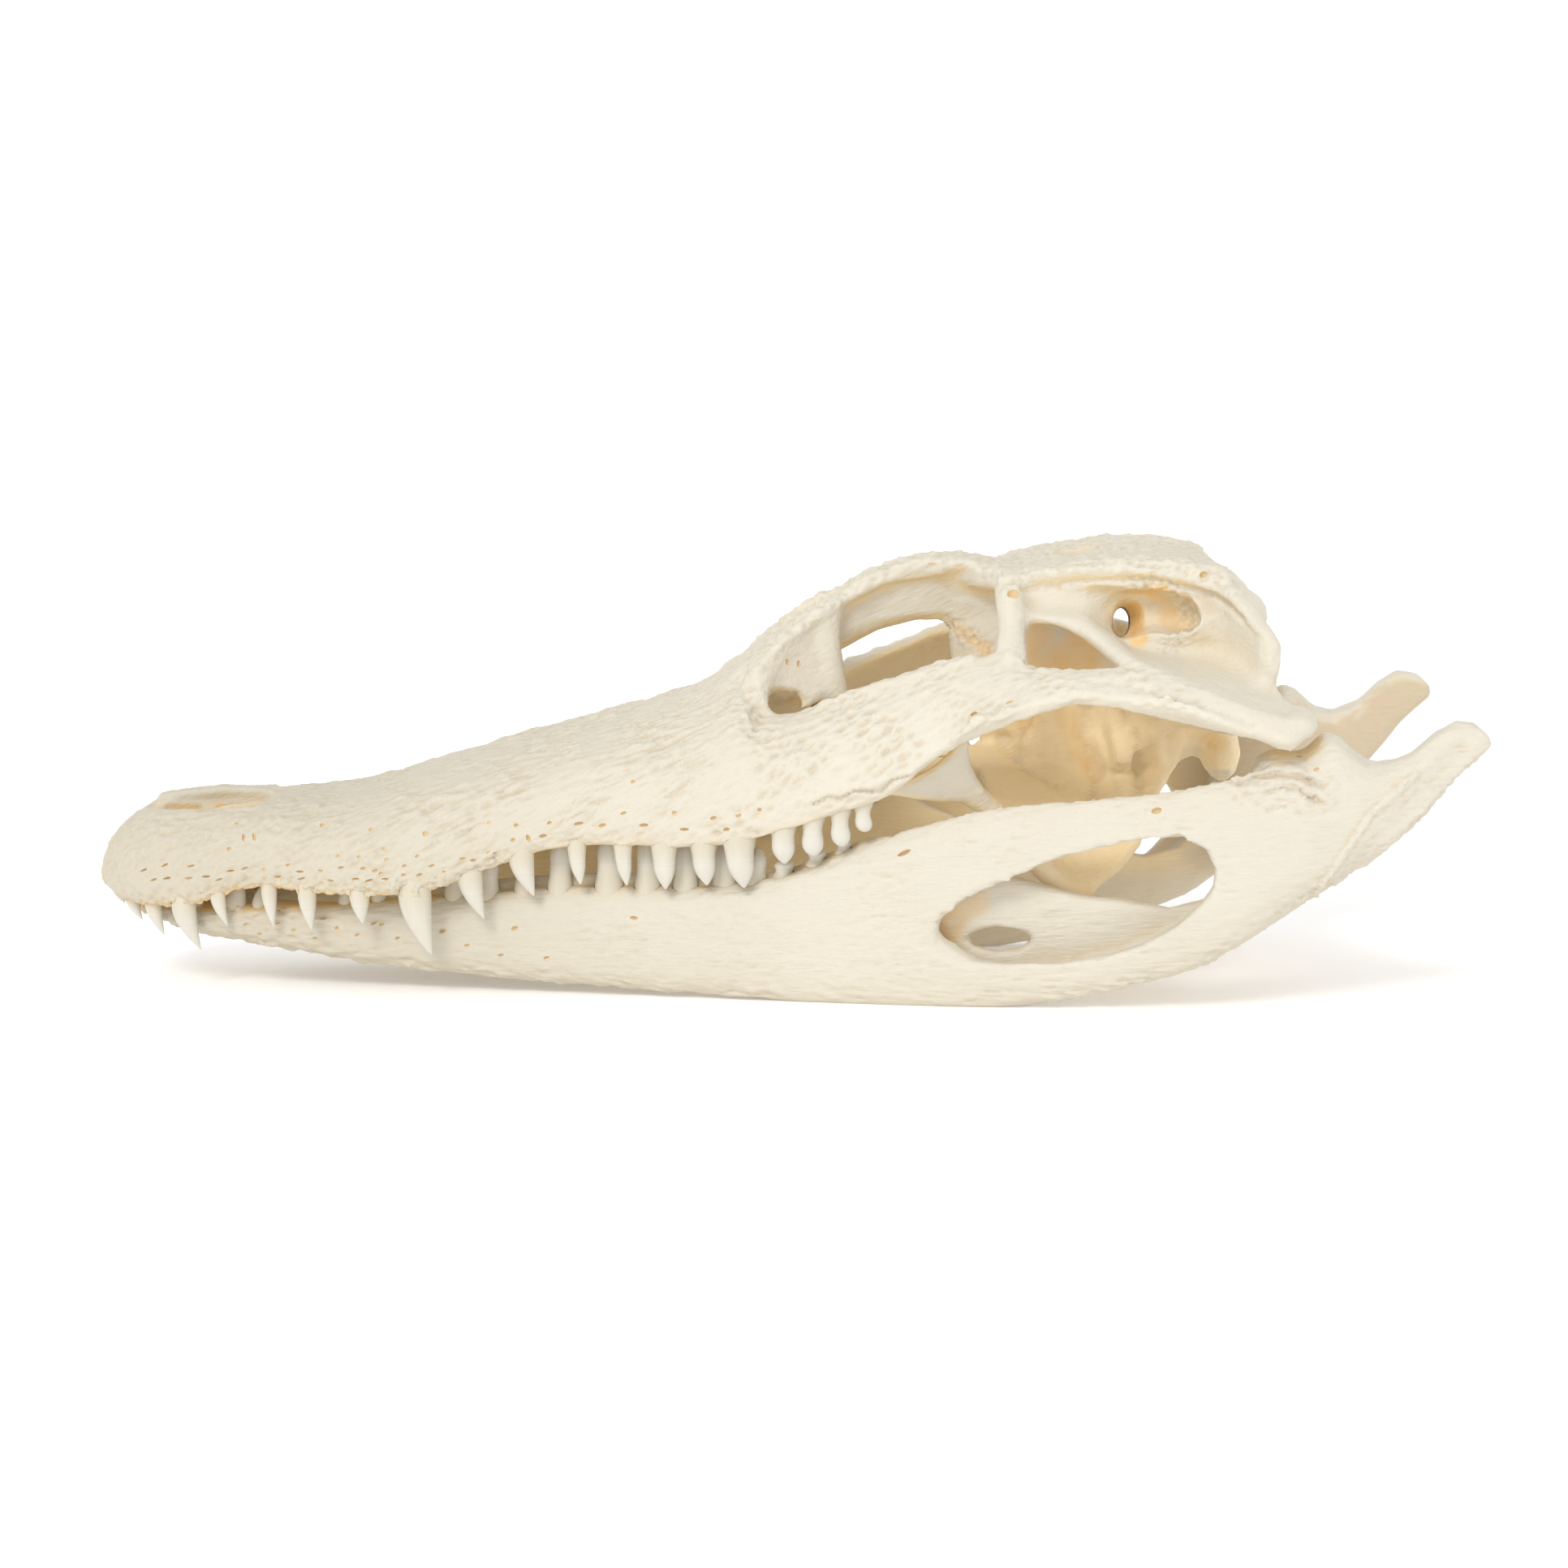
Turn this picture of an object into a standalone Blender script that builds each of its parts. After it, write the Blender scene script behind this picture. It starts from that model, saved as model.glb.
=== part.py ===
"""A cleaned skull of a half-grown American alligator with its lower jaw in place.

The skull lies on its lower jaw, snout towards -X, left side towards -Y, +Z up.
Lengths are in millimetres on this skull: x from the snout's tip backwards, y
from the midline outwards, z up from the table it lies on. They become metres,
and x is counted from the middle of the whole length, when a mesh is built.
"""

import math
import random

import bmesh
import bpy
import numpy as np
from mathutils import Matrix, Vector

# Driving sizes
SKULL_LENGTH = 0.228                 # snout's tip to the back of the skull table, in metres
MM = SKULL_LENGTH / 228              # one millimetre of the skull measured here, in metres
OVERALL = 280.2                      # snout's tip to the end of the lower jaw
GAP = 0.3                            # clear space between bones that touch
SUTURE_X = 128.0                     # where the snout meets the orbital part

# How finely the bone is fused, and how many triangles it keeps
VOXEL = 0.9
UPPER_FACES = 7600
RAMUS_FACES = 1500


def profile(*knots):
    """A smooth line through (distance, value) knots, held level past its ends."""
    xs, vs = np.array(knots, float).T
    slopes = np.gradient(vs, xs)

    def value(x):
        i = int(np.clip(np.searchsorted(xs, x) - 1, 0, len(xs) - 2))
        h = xs[i + 1] - xs[i]
        t = float(np.clip((x - xs[i]) / h, 0, 1))
        return float(
            vs[i] * (1 + 2 * t) * (1 - t) ** 2
            + vs[i + 1] * t * t * (3 - 2 * t)
            + h * slopes[i] * t * (1 - t) ** 2
            - h * slopes[i + 1] * t * t * (1 - t)
        )

    return value


def route(points, steps):
    """Evenly spaced points on a smooth line through a few points."""
    points = np.array(points, float)
    reach = np.concatenate([[0], np.cumsum(np.linalg.norm(np.diff(points[:, :3], axis=0), axis=1))])
    lines = [profile(*zip(reach, column)) for column in points.T]
    return [np.array([line(t) for line in lines]) for t in np.linspace(0, reach[-1], steps)]


def turns(sides):
    return [2 * math.pi * k / sides for k in range(sides)]


def soften(value, power):
    """Squares off a sine or cosine, so that an oval becomes a rounded box."""
    return math.copysign(abs(value) ** power, value)


class Shells:
    """Closed shells of one bone or of its openings, apart until they are fused."""

    def __init__(self):
        self.bm = bmesh.new()

    def skin(self, rings):
        """A closed shell over rings of points, one ring after another."""
        rows = [[self.bm.verts.new(Vector(p) * MM) for p in ring] for ring in rings]
        count = len(rows[0])
        faces = [self.bm.faces.new(rows[0][::-1]), self.bm.faces.new(rows[-1])]
        for a, b in zip(rows, rows[1:]):
            for k in range(count):
                n = (k + 1) % count
                faces.append(self.bm.faces.new((a[k], a[n], b[n], b[k])))
        bmesh.ops.recalc_face_normals(self.bm, faces=faces)

    def strut(self, stations, steps=24, sides=20):
        """A bar of oval section along (x, y, z, half across, half up) stations."""
        line = route(stations, steps)
        rings = []
        for k, row in enumerate(line):
            ahead = line[min(k + 1, steps - 1)][:3] - line[max(k - 1, 0)][:3]
            along = Vector(ahead).normalized()
            up = Vector((0, 0, 1)) if abs(along.z) < 0.9 else Vector((1, 0, 0))
            up = (up - along * up.dot(along)).normalized()
            across = along.cross(up)
            middle = Vector(row[:3])
            wide, high = across * row[3], up * row[4]
            rings.append([middle + wide * math.cos(t) + high * math.sin(t) for t in turns(sides)])
        self.skin(rings)

    def sheet(self, first, second, thickness, bulge=(0, 0, 0), steps=24, across=10):
        """A curved plate between two edge lines, its middle moved by the bulge."""
        a, b = route(first, steps), route(second, steps)
        shares = np.linspace(0, 1, across)
        grid = np.array([[p + (q - p) * s + np.array(bulge) * math.sin(math.pi * s) for s in shares]
                         for p, q in zip(a, b)])
        normal = np.cross(np.gradient(grid, axis=0), np.gradient(grid, axis=1))
        normal /= np.maximum(np.linalg.norm(normal, axis=2, keepdims=True), 1e-9)
        half = normal * thickness / 2
        self.skin([[*(row + h), *(row - h)[::-1]] for row, h in zip(grid, half)])

    def ball(self, middle, radii, turn=(0, 0, 0)):
        """An ellipsoid with its own radii, turned by degrees about X, Y and Z."""
        made = bmesh.ops.create_icosphere(self.bm, subdivisions=4, radius=1)["verts"]
        spin = Matrix.Identity(4)
        for degrees, axis in zip(turn, "XYZ"):
            spin = Matrix.Rotation(math.radians(degrees), 4, axis) @ spin
        grow = Matrix.Diagonal((*(Vector(radii) * MM), 1))
        place = Matrix.Translation(Vector(middle) * MM) @ spin @ grow
        bmesh.ops.transform(self.bm, matrix=place, verts=made)

    def prism(self, outline, low, high):
        """A straight plug through an (x, z) outline, from y low to y high."""
        self.skin([[(x, y, z) for x, z in outline] for y in (low, high)])

    def block(self, low, high):
        """A box between two corners."""
        made = bmesh.ops.create_cube(self.bm, size=1)["verts"]
        low, high = Vector(low), Vector(high)
        place = Matrix.Translation((low + high) / 2 * MM) @ Matrix.Diagonal((*((high - low) * MM), 1))
        bmesh.ops.transform(self.bm, matrix=place, verts=made)

    def mirror(self):
        """Turns all that is here into its mirror image in the plane y = 0."""
        bmesh.ops.scale(self.bm, vec=(1, -1, 1), verts=self.bm.verts)
        bmesh.ops.reverse_faces(self.bm, faces=self.bm.faces)

    def object(self, name="tool"):
        mesh = bpy.data.meshes.new(name)
        self.bm.to_mesh(mesh)
        self.bm.free()
        made = bpy.data.objects.new(name, mesh)
        bpy.context.scene.collection.objects.link(made)
        return made


def both_sides(draw):
    """The shells that a function draws for the right side, with their mirror images."""
    pair = Shells()
    for side in (1, -1):
        half = Shells()
        draw(half)
        if side < 0:
            half.mirror()
        mesh = bpy.data.meshes.new("half")
        half.bm.to_mesh(mesh)
        half.bm.free()
        pair.bm.from_mesh(mesh)
        bpy.data.meshes.remove(mesh)
    return pair


# The snout: premaxillae, maxillae and nasals in one solid block

SNOUT_HALF_WIDTH = profile(
    (0, 3.5), (1.5, 8), (4, 12), (8, 15.5), (14, 18.5), (22, 21), (30, 22.4), (36, 23.6),
    (46, 27), (56, 30.3), (66, 32.6), (78, 33), (92, 33.8), (108, 35.8), (124, 38.6), (137, 41.6))
SNOUT_ROOF = profile(
    (0, 24), (1.5, 28.5), (4, 31.7), (8, 34.8), (12, 36.8), (20, 38.2), (30, 38.8), (40, 39),
    (50, 39.9), (60, 41.8), (70, 44.9), (80, 47.9), (96, 52.3), (112, 56.8), (124, 60.8),
    (132, 64.4), (142, 69))
TOOTH_LINE = profile(
    (0, 19), (5, 17.6), (14, 16.9), (21, 17.6), (26, 19.7), (31, 21.2), (45, 20.7), (56, 20.8),
    (66, 21.6), (74, 23.6), (82, 26.9), (92, 30.3), (103, 31.8), (118, 31.7), (127, 32.3),
    (132, 33.2), (138, 35.3), (148, 38.5), (158, 41.2), (166, 43.6))
PALATE = profile(
    (0, 22), (14, 22.5), (30, 25), (60, 26.5), (76, 29), (90, 33.5), (110, 35), (130, 36), (150, 39))
FLANK_SQUARENESS = profile((0, 2.0), (20, 2.2), (60, 2.5), (100, 2.5), (130, 2.3), (142, 2.2))
FLANK_LIFT = profile((0, 3), (20, 5), (50, 5.5), (80, 4.5), (142, 5))
TOOTH_BAND_WIDTH = 7.0
UPPER_ROW = profile(  # how far out the upper teeth stand
    (2, 3), (6, 8.6), (10.6, 13), (17.6, 17), (25, 19.2), (36, 21.4), (44, 24.2), (54, 27.5),
    (66, 29.6), (78, 30.2), (90, 31), (106, 32.8), (124, 35.4), (140, 38.4), (158, 41.2),
    (170, 42.6))
NOSTRIL = ((24, 6.2, 40), (13.4, 4.9, 7.5), (0, 0, 3))
NOSE_RIDGE = [
    (9, 0, 34, 1.4, 1.6), (14, 0, 36.6, 1.6, 1.8), (20, 0, 37.8, 1.6, 1.8), (30, 0, 38.3, 1.8, 1.9),
    (40, 0, 37.8, 2.6, 1.8), (50, 0, 38, 3, 1.8)]


def snout_ring(x, sides=16):
    """Half-round roof over a flat palate with a raised, rounded tooth line."""
    w, roof, tooth, palate = SNOUT_HALF_WIDTH(x), SNOUT_ROOF(x), TOOTH_LINE(x), PALATE(x)
    flank = tooth + FLANK_LIFT(x)
    power = 2 / FLANK_SQUARENESS(x)
    half = []
    for k in range(sides + 1):
        t = math.pi / 2 * k / sides
        half.append((w * math.sin(t) ** power, flank + (roof - flank) * math.cos(t) ** power))
    band = min(TOOTH_BAND_WIDTH, w * 0.5)
    half += [(w - 0.5, tooth + 1.2), (w - 1.8, tooth), (w - 0.7 * band, tooth + 0.4)]
    half += [(w - band - 1, palate - 0.5), ((w - band) * 0.5, palate)]
    ring = [(x, y, z) for y, z in half] + [(x, 0, palate)]
    return ring + [(x, -y, z) for y, z in half[:0:-1]]


# The roof between the eye sockets, and their rims

RIM_HALF = profile(
    (116, 15), (130, 17.5), (138, 16), (145, 13.5), (152, 11), (160, 9.2), (168, 8.8), (176, 9.3),
    (183, 11.5), (190, 16))
RIM_TOP = profile(
    (116, 56), (130, 64.4), (138, 71.2), (145, 74.8), (152, 80.6), (160, 85), (168, 87.5),
    (176, 88.1), (183, 86.8), (190, 85.9))
KEEL_FOOT = profile(
    (116, 50), (130, 56), (140, 61), (150, 66.5), (158, 71), (168, 74), (180, 74), (190, 72))
KEEL_HALF = profile((116, 12), (140, 9.5), (152, 7), (168, 5), (182, 5.5), (190, 8))
ORBIT_RIM = [  # the front of the eye socket's edge, from the roof down to the cheek
    (152, 10.5, 78.8, 1.8, 2.2), (145, 13, 73.8, 2.2, 2.6), (139.5, 16.5, 68.5, 2.4, 2.8),
    (136, 20.5, 62.5, 2.6, 3), (135.5, 24.5, 58, 2.4, 2.6)]
POSTORBITAL_BAR = [
    (187, 22, 82, 4, 3.6), (186.6, 27, 80, 3.4, 3.4), (186.6, 30.5, 75.5, 3, 3),
    (186.3, 34, 71.5, 3.3, 3.2), (186.2, 38, 67.5, 3.8, 4)]
PREFRONTAL_PILLAR = [
    (148, 9.5, 76, 4, 4), (150, 11.5, 69, 3, 3.2), (151.2, 12.5, 62, 3, 3),
    (150, 12, 54, 2.8, 3.6), (145, 10, 46, 2.6, 5), (144, 8, 41, 3, 6)]
LACRIMAL_WALL = (
    [(152, 10, 78), (145, 13, 74), (139.5, 16.5, 68), (136, 20.5, 61.5), (135.5, 23.5, 57.6)],
    [(153, 9.5, 72), (151.5, 11.5, 67), (150, 13, 62.5), (148, 16, 59), (143, 20, 57)])
TEAR_OPENING = ((142.5, 21, 59.6), (5.6, 4.6, 2.8))    # low in the front of the eye socket


def frontal_ring(x):
    """A T-shaped section: raised rims on both sides, and a keel underneath."""
    w, top, foot, keel = RIM_HALF(x), RIM_TOP(x), KEEL_FOOT(x), KEEL_HALF(x)
    half = [(0, top - 1.3), (w * 0.5, top - 1.0), (w * 0.86, top), (w, top - 1.0), (w - 0.3, top - 2.4)]
    half += [(w * 0.8, top - 3.6), (max(keel, w * 0.62), top - 5.2)]
    half += [(keel * 0.95, top - 8), (keel * 0.8, foot + 1.5), (keel * 0.4, foot)]
    return [(x, y, z) for y, z in half] + [(x, 0, foot)] + [(x, -y, z) for y, z in half[:0:-1]]


def draw_orbit(side):
    for bar in (ORBIT_RIM, POSTORBITAL_BAR, PREFRONTAL_PILLAR):
        side.strut(bar)
    side.sheet(*LACRIMAL_WALL, thickness=2.6)


# The cheek: the back of the upper jaw and the cheek bone, one curved plate

CHEEK_RIM = profile(  # height of its upper edge
    (104, 48), (120, 53), (130, 56.2), (136, 57.7), (142, 58.1), (146.5, 59.7), (154.5, 62.9),
    (162, 65.9), (168, 67.9), (172.5, 69.8), (177, 70.8), (181, 70.9), (185.5, 70.1), (189, 69.3),
    (198, 69.1), (206.5, 69.4), (213, 68.1), (219.6, 66.2), (226, 63.4), (232.6, 60.7),
    (239.3, 57.2), (242, 56))
CHEEK_RIM_OUT = profile(
    (104, 18), (120, 21), (136, 24), (146, 27), (154.5, 29), (162, 31), (172, 34), (181, 36),
    (189, 39.4), (198, 43), (206.5, 46), (213, 49), (220, 52), (232, 54.5), (242, 54.5))
CHEEK_EDGE = profile(  # height of its lower, outer edge
    (104, 38.5), (124, 38.5), (140, 41.5), (150, 44), (158, 46), (165, 48.8), (175.4, 54.9),
    (184.2, 59.3), (193, 63), (198, 64.3), (206, 63.3), (212.7, 61.6), (219.4, 59.8), (226, 58.2),
    (232.6, 56.2), (237, 55), (242, 54))
CHEEK_EDGE_OUT = profile(
    (104, 33), (124, 38), (136, 41.4), (150, 44.6), (160, 46.6), (170, 48.4), (182, 50.2),
    (193, 51.6), (205, 53.4), (219, 55.6), (232, 57), (242, 56))
CHEEK_THICKNESS = profile(
    (104, 9), (130, 8), (150, 6), (168, 4.6), (182, 4.2), (198, 4), (220, 4.2), (242, 4))
CHEEK_BULGE = profile(
    (104, 3.6), (122, 4.0), (136, 4.6), (150, 3.4), (170, 2.2), (190, 1.2), (242, 1))
TOOTH_BAND = profile(
    (104, 0.3), (114, 0.8), (122, 1), (152, 1), (163, 0.75), (169, 0.2), (172, 0), (242, 0))

BAND_OUTWARD = 2.6                   # bone beside the tooth row, outside and inside it
BAND_INWARD = 3.4


def cheek_ring(x, sides=9):
    """A curved plate from the eye socket's edge out and down, the tooth band inside its foot."""
    rim, edge = Vector((CHEEK_RIM_OUT(x), CHEEK_RIM(x))), Vector((CHEEK_EDGE_OUT(x), CHEEK_EDGE(x)))
    chord = edge - rim
    outward = Vector((-chord.y, chord.x)).normalized()
    outer, inner = [], []
    for share in np.linspace(0, 1, sides):
        middle = rim + chord * share + outward * CHEEK_BULGE(x) * math.sin(math.pi * share)
        rounded = math.sin(math.pi * (0.08 + 0.84 * share)) ** 0.3
        outer.append(middle)
        inner.append(middle - outward * CHEEK_THICKNESS(x) * rounded)
    band, row = TOOTH_BAND(x), UPPER_ROW(x)
    low = edge.y + (TOOTH_LINE(x) - edge.y) * band
    foot = [Vector((start + (row + reach - start) * band, low))
            for start, reach in ((edge.x, BAND_OUTWARD), (inner[-1].x, -BAND_INWARD))]
    return [(x, p.x, p.y) for p in outer + foot + inner[::-1]]


# The skull table with its two upper openings, and the braincase under it

TABLE_HALF = profile(
    (178, 8.5), (182, 11.5), (185, 17), (189, 23.4), (196, 27), (206, 29.4), (216, 30.6),
    (226, 32.6), (231, 33.4))
TABLE_TOP = profile(
    (178, 85.6), (184, 86), (190, 87), (200, 88.6), (208, 89.7), (216, 89.9), (224, 88.9), (231, 87))
TABLE_DEPTH = profile((178, 4), (188, 5.6), (200, 6.4), (231, 6.4))
TABLE_HOLLOW = 1.6
BRAINCASE_HALF = profile(
    (175, 2.4), (180, 4.4), (186, 6.4), (192, 8.4), (200, 11), (208, 13.5), (218, 16), (226, 17),
    (231, 14))
BRAINCASE_FOOT = profile(
    (175, 66), (178, 56), (181, 50), (186, 47.5), (208, 47), (218, 46), (226, 46), (231, 50))
BRAINCASE_FLARE = 0.25               # how much wider it is above than below
UPPER_OPENING = ((201.5, 12.2, 88), (6.2, 4.6, 9))
EAR_BLOCK = ((219, 18, 77), (20, 14.5, 9))
EAR_HOLLOW = ((212.5, 29.5, 78.6), (11, 6.8, 4.4), (0, -2, -8))
EAR_PIT = ((219.5, 28, 77), (6, 5, 3.2))
EAR_CANAL = ((210.2, 26, 76.8), (3.4, 8, 3.7))
EAR_BORE = [(207.9, -36, 77.1, 1.9, 3.6), (213.2, 40, 69.7, 1.9, 3.6)]    # right through both


def table_ring(x, sides=10):
    """A flat slab, a little hollow on top, with full rounded edges."""
    w, top, depth = TABLE_HALF(x), TABLE_TOP(x), TABLE_DEPTH(x)
    half = [(w * s, top - TABLE_HOLLOW * (1 - s * s)) for s in np.linspace(0, 0.94, sides)]
    half += [(w, top - 1.4), (w + 0.4, top - depth * 0.6), (w - 0.4, top - depth + 0.6)]
    half += [(w - 2, top - depth), (w * 0.5, top - depth)]
    return [(x, y, z) for y, z in half] + [(x, 0, top - depth)] + [(x, -y, z) for y, z in half[:0:-1]]


def braincase_ring(x, sides=20):
    w, top, foot = BRAINCASE_HALF(x), TABLE_TOP(x) - 2, BRAINCASE_FOOT(x)
    middle, half = (top + foot) / 2, (top - foot) / 2
    return [(x, w * math.sin(t) * (1 + BRAINCASE_FLARE * math.cos(t)), middle + half * math.cos(t))
            for t in turns(sides)]


# Behind the eye: the wall round the ear, the quadrate down to the jaw joint, the occiput

TEMPORAL_WALL = (
    [(186, 23, 83), (193, 23.5, 84), (201, 23, 84), (208, 21, 80)],
    [(188, 28.5, 77), (194.6, 31.5, 76.7), (201.6, 37, 74), (208.2, 44.5, 70)])
QUADRATE = (  # from the ear down and out to the cheek bar, back to the jaw joint
    [(199, 25, 81), (206, 20, 72), (219, 22, 69.5), (230, 31, 67.5), (240, 40, 61.5)],
    [(201.6, 37, 74), (208.2, 44.5, 70), (218, 51.5, 65.6), (231, 55, 60.5), (241, 54, 57)])
SQUAMOSAL_WING = (  # behind the ear: from the table's corner down to the quadrate
    [(222, 26, 86), (229, 32, 85), (231, 36.5, 83.5), (235, 39, 78.5), (238.5, 41.5, 73),
    (237.5, 43, 67)], [(217, 18, 80), (222, 20, 76), (225, 24, 74), (229, 28, 70), (233, 34, 66),
    (236, 39, 62)])
PAROCCIPITAL = [
    (224, 8, 72, 3, 8), (230, 20, 71, 3, 7.5), (235, 32, 70.5, 2.6, 6), (237, 41, 70, 2.2, 4.6)]
QUADRATE_BODY = [
    (212, 12, 60, 4, 6), (222, 20, 60, 4, 6), (232, 30, 58.5, 4.4, 5), (240, 40, 58, 4, 3.4)]
JAW_CONDYLE = [(239, 34, 58.6, 3.2, 2.6), (241.8, 37, 57.8, 3.8, 3.2), (242.4, 44, 58, 3.8, 3.2),
               (242, 50, 58, 3.6, 3), (240.6, 54, 57.4, 2.8, 2.4)]
QUADRATE_WING = [
    (226, 24, 62, 1.8, 3), (218, 19, 57, 1.8, 4), (211, 14, 51, 2, 4), (206, 9, 45, 2, 3)]
NECK_CONDYLE = ((235.5, 0, 61.5), (5.4, 5.4, 5))
BRAINCASE_FLOOR = ((229, 0, 55), (6, 9, 10))
FLOOR_KNOB = ((231, 4, 47), (4, 6, 6))
SPINAL_OPENING = [(214, 0, 69, 4.6, 4.6), (240, 0, 70, 5.2, 4.8)]


def draw_rear(side):
    side.sheet(*TEMPORAL_WALL, thickness=3, bulge=(0, -2, -1))
    side.sheet(*QUADRATE, thickness=3.4)
    side.sheet(*SQUAMOSAL_WING, thickness=3.2)
    for bar in (PAROCCIPITAL, QUADRATE_BODY, QUADRATE_WING, JAW_CONDYLE):
        side.strut(bar)
    for lump in (EAR_BLOCK, FLOOR_KNOB):
        side.ball(*lump)


# The back of the palate: palatines, pterygoid wings and the struts to the cheek

PALATE_BAR_HALF = profile(
    (112, 14), (128, 11.5), (145, 9), (165, 8.5), (185, 9.5), (205, 10), (222, 8))
PALATE_BAR_TOP = profile(
    (112, 42), (128, 43.5), (145, 45), (165, 47), (185, 48.4), (205, 51), (222, 52))
PALATE_BAR_FOOT = profile(
    (112, 35), (128, 36.2), (145, 37.6), (165, 39.2), (185, 40), (205, 40.5), (222, 43))
PALATE_SQUARENESS = 0.75
PTERYGOID_WING = (
    [(180, 6, 44), (192, 7, 45), (204, 7, 45), (214, 6, 45), (222, 5, 45)],
    [(182, 32, 39), (190, 32.6, 30), (199, 31.6, 22.5), (206, 29.5, 24.5), (213, 25, 31)])
WING_EDGE = [(173, 34.5, 46, 2.4, 3), (181, 33.4, 40.5, 2.0, 2.6), (190, 32.6, 30.5, 1.9, 2.6),
             (199, 31.4, 22.6, 1.8, 2.2), (204, 30, 23, 1.6, 1.8)]
ECTOPTERYGOID = ([(158, 38, 44), (166, 38, 46.5), (173, 37.5, 51), (177, 38, 56)],
                 [(166, 36, 41.5), (172, 35, 41), (178, 34, 40.5), (182, 33.4, 39.5)])
BASE_WALL = ([(196, 8, 62), (206, 10, 60), (216, 12, 60), (224, 13, 60)],
             [(188, 7, 47), (200, 8, 46), (212, 8, 45), (222, 7, 46)])
THROAT_OPENING = ((209, 0, 39.5), (4.5, 3.2, 4))
NASAL_CAVITY = [
    (24, 0, 31, 7, 3.6), (40, 0, 31.5, 9, 3.8), (60, 0, 33.5, 11, 5), (85, 0, 41, 12, 6.4),
    (110, 0, 46.4, 12.5, 8), (130, 0, 52, 12.5, 8.6), (148, 0, 57, 11, 7)]


def palate_ring(x, sides=20):
    w, top, foot = PALATE_BAR_HALF(x), PALATE_BAR_TOP(x), PALATE_BAR_FOOT(x)
    middle, half = (top + foot) / 2, (top - foot) / 2
    ring = []
    for t in turns(sides):
        up, out = soften(math.cos(t), PALATE_SQUARENESS), soften(math.sin(t), PALATE_SQUARENESS)
        ring.append((x, w * out, middle + half * up))
    return ring


def draw_palate(side):
    side.sheet(*PTERYGOID_WING, thickness=2.8, bulge=(0, 0, 1.5))
    side.strut(WING_EDGE)
    side.sheet(*ECTOPTERYGOID, thickness=2.8)
    side.sheet(*BASE_WALL, thickness=4)


def upper_skull():
    """All of the skull above the lower jaw, before it is cut."""
    middle = Shells()
    middle.skin([snout_ring(x) for x in SNOUT_STATIONS])
    middle.strut(NOSE_RIDGE)
    middle.skin([frontal_ring(x) for x in FRONTAL_STATIONS])
    middle.skin([table_ring(x) for x in TABLE_STATIONS])
    middle.skin([braincase_ring(x) for x in BRAINCASE_STATIONS])
    middle.skin([palate_ring(x) for x in PALATE_STATIONS])
    for lump in (NECK_CONDYLE, BRAINCASE_FLOOR):
        middle.ball(*lump)

    def draw_side(side):
        draw_orbit(side)
        side.skin([cheek_ring(x) for x in CHEEK_STATIONS])
        draw_rear(side)
        draw_palate(side)

    return middle.object("middle"), both_sides(draw_side).object("sides")


def upper_openings():
    """Nostrils, nasal passage, eye sockets, ears, the table's openings, throat and spinal canal."""

    def draw_side(side):
        for hollow in (NOSTRIL, TEAR_OPENING, EAR_HOLLOW, EAR_PIT, EAR_CANAL, UPPER_OPENING):
            side.ball(*hollow)

    cuts = both_sides(draw_side)
    for passage in (EAR_BORE, SPINAL_OPENING, NASAL_CAVITY):
        cuts.strut(passage)
    cuts.ball(*THROAT_OPENING)
    return cuts.object()


# The lower jaw: one ramus, from the chin to the lever behind the joint

RAMUS_OUTER = profile(
    (6.5, 4), (9, 8), (15, 12.4), (25, 16.2), (35, 18.4), (50, 20.6), (64, 22.6), (81, 25.6),
    (97, 28.6), (114, 32), (130, 35.4), (150, 39.6), (173, 44.4), (190, 47), (209, 49.4), (229, 52),
    (240, 53), (250, 52.6), (265, 50.4), (281, 48.6))
RAMUS_INNER = profile(
    (6.5, -2), (30, -2), (36, 3), (42, 8.5), (50, 12), (64, 14), (81, 17), (97, 20), (114, 23),
    (130, 26), (150, 30), (173, 34), (190, 35.6), (209, 37.4), (229, 36.4), (240, 33), (248, 32.6),
    (256, 37), (265, 40.6), (281, 42))
RAMUS_TOP = profile(
    (6.5, 16), (14, 16.6), (30, 17.4), (50, 18), (66, 19.6), (80, 20.8), (91, 22.2), (107, 23.2),
    (126, 23.4), (134, 24.1), (142, 26.4), (152, 31), (162, 35.4), (174, 39.4), (182, 41.5),
    (192, 43), (203, 44.1), (213, 45.3), (224, 47.8), (234, 51.2), (238, 52.8), (245, 52.9),
    (248, 56.2), (250.6, 55.6), (254.6, 51.6), (258.4, 50.4), (264.8, 52.4), (270.4, 57.4),
    (274, 58.8), (278, 58), (280.4, 55.6))
RAMUS_FOOT = profile(
    (6.5, 15), (9, 14), (14, 12.1), (21.4, 10.1), (30, 9), (47, 6.5), (64, 4.4), (81, 2.9),
    (97, 1.9), (114, 1.2), (130, 0.4), (145, -0.5), (165, -1), (180, -0.8), (190, 0.2), (200, 2),
    (209, 4.1), (228.6, 11.2), (238.4, 17.8), (248, 24.1), (257.7, 30.5), (267.3, 39.3),
    (273, 46.2), (278, 51.2), (280.4, 53.4))
RAMUS_SQUARENESS = 0.7
RAMUS_LEAN = profile((6.5, 1), (60, 2), (130, 3), (190, 4), (240, 2), (281, 0))
WINDOW = [
    (170.6, 14), (172.8, 19), (177, 22.3), (181.6, 24.8), (188.5, 28.2), (195, 30.9), (203.9, 33.4),
    (211.6, 35.2), (217.4, 35.9), (221.6, 35.2), (224.6, 33), (226.1, 29.8), (225.8, 26.2),
    (223.5, 22.4), (218.4, 17.8), (211.8, 13.8), (204, 11.2), (195, 9.8), (186, 9.4), (179.4, 9.9),
    (173.6, 12)]
WINDOW_REACH = (39.5, 60)
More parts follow.
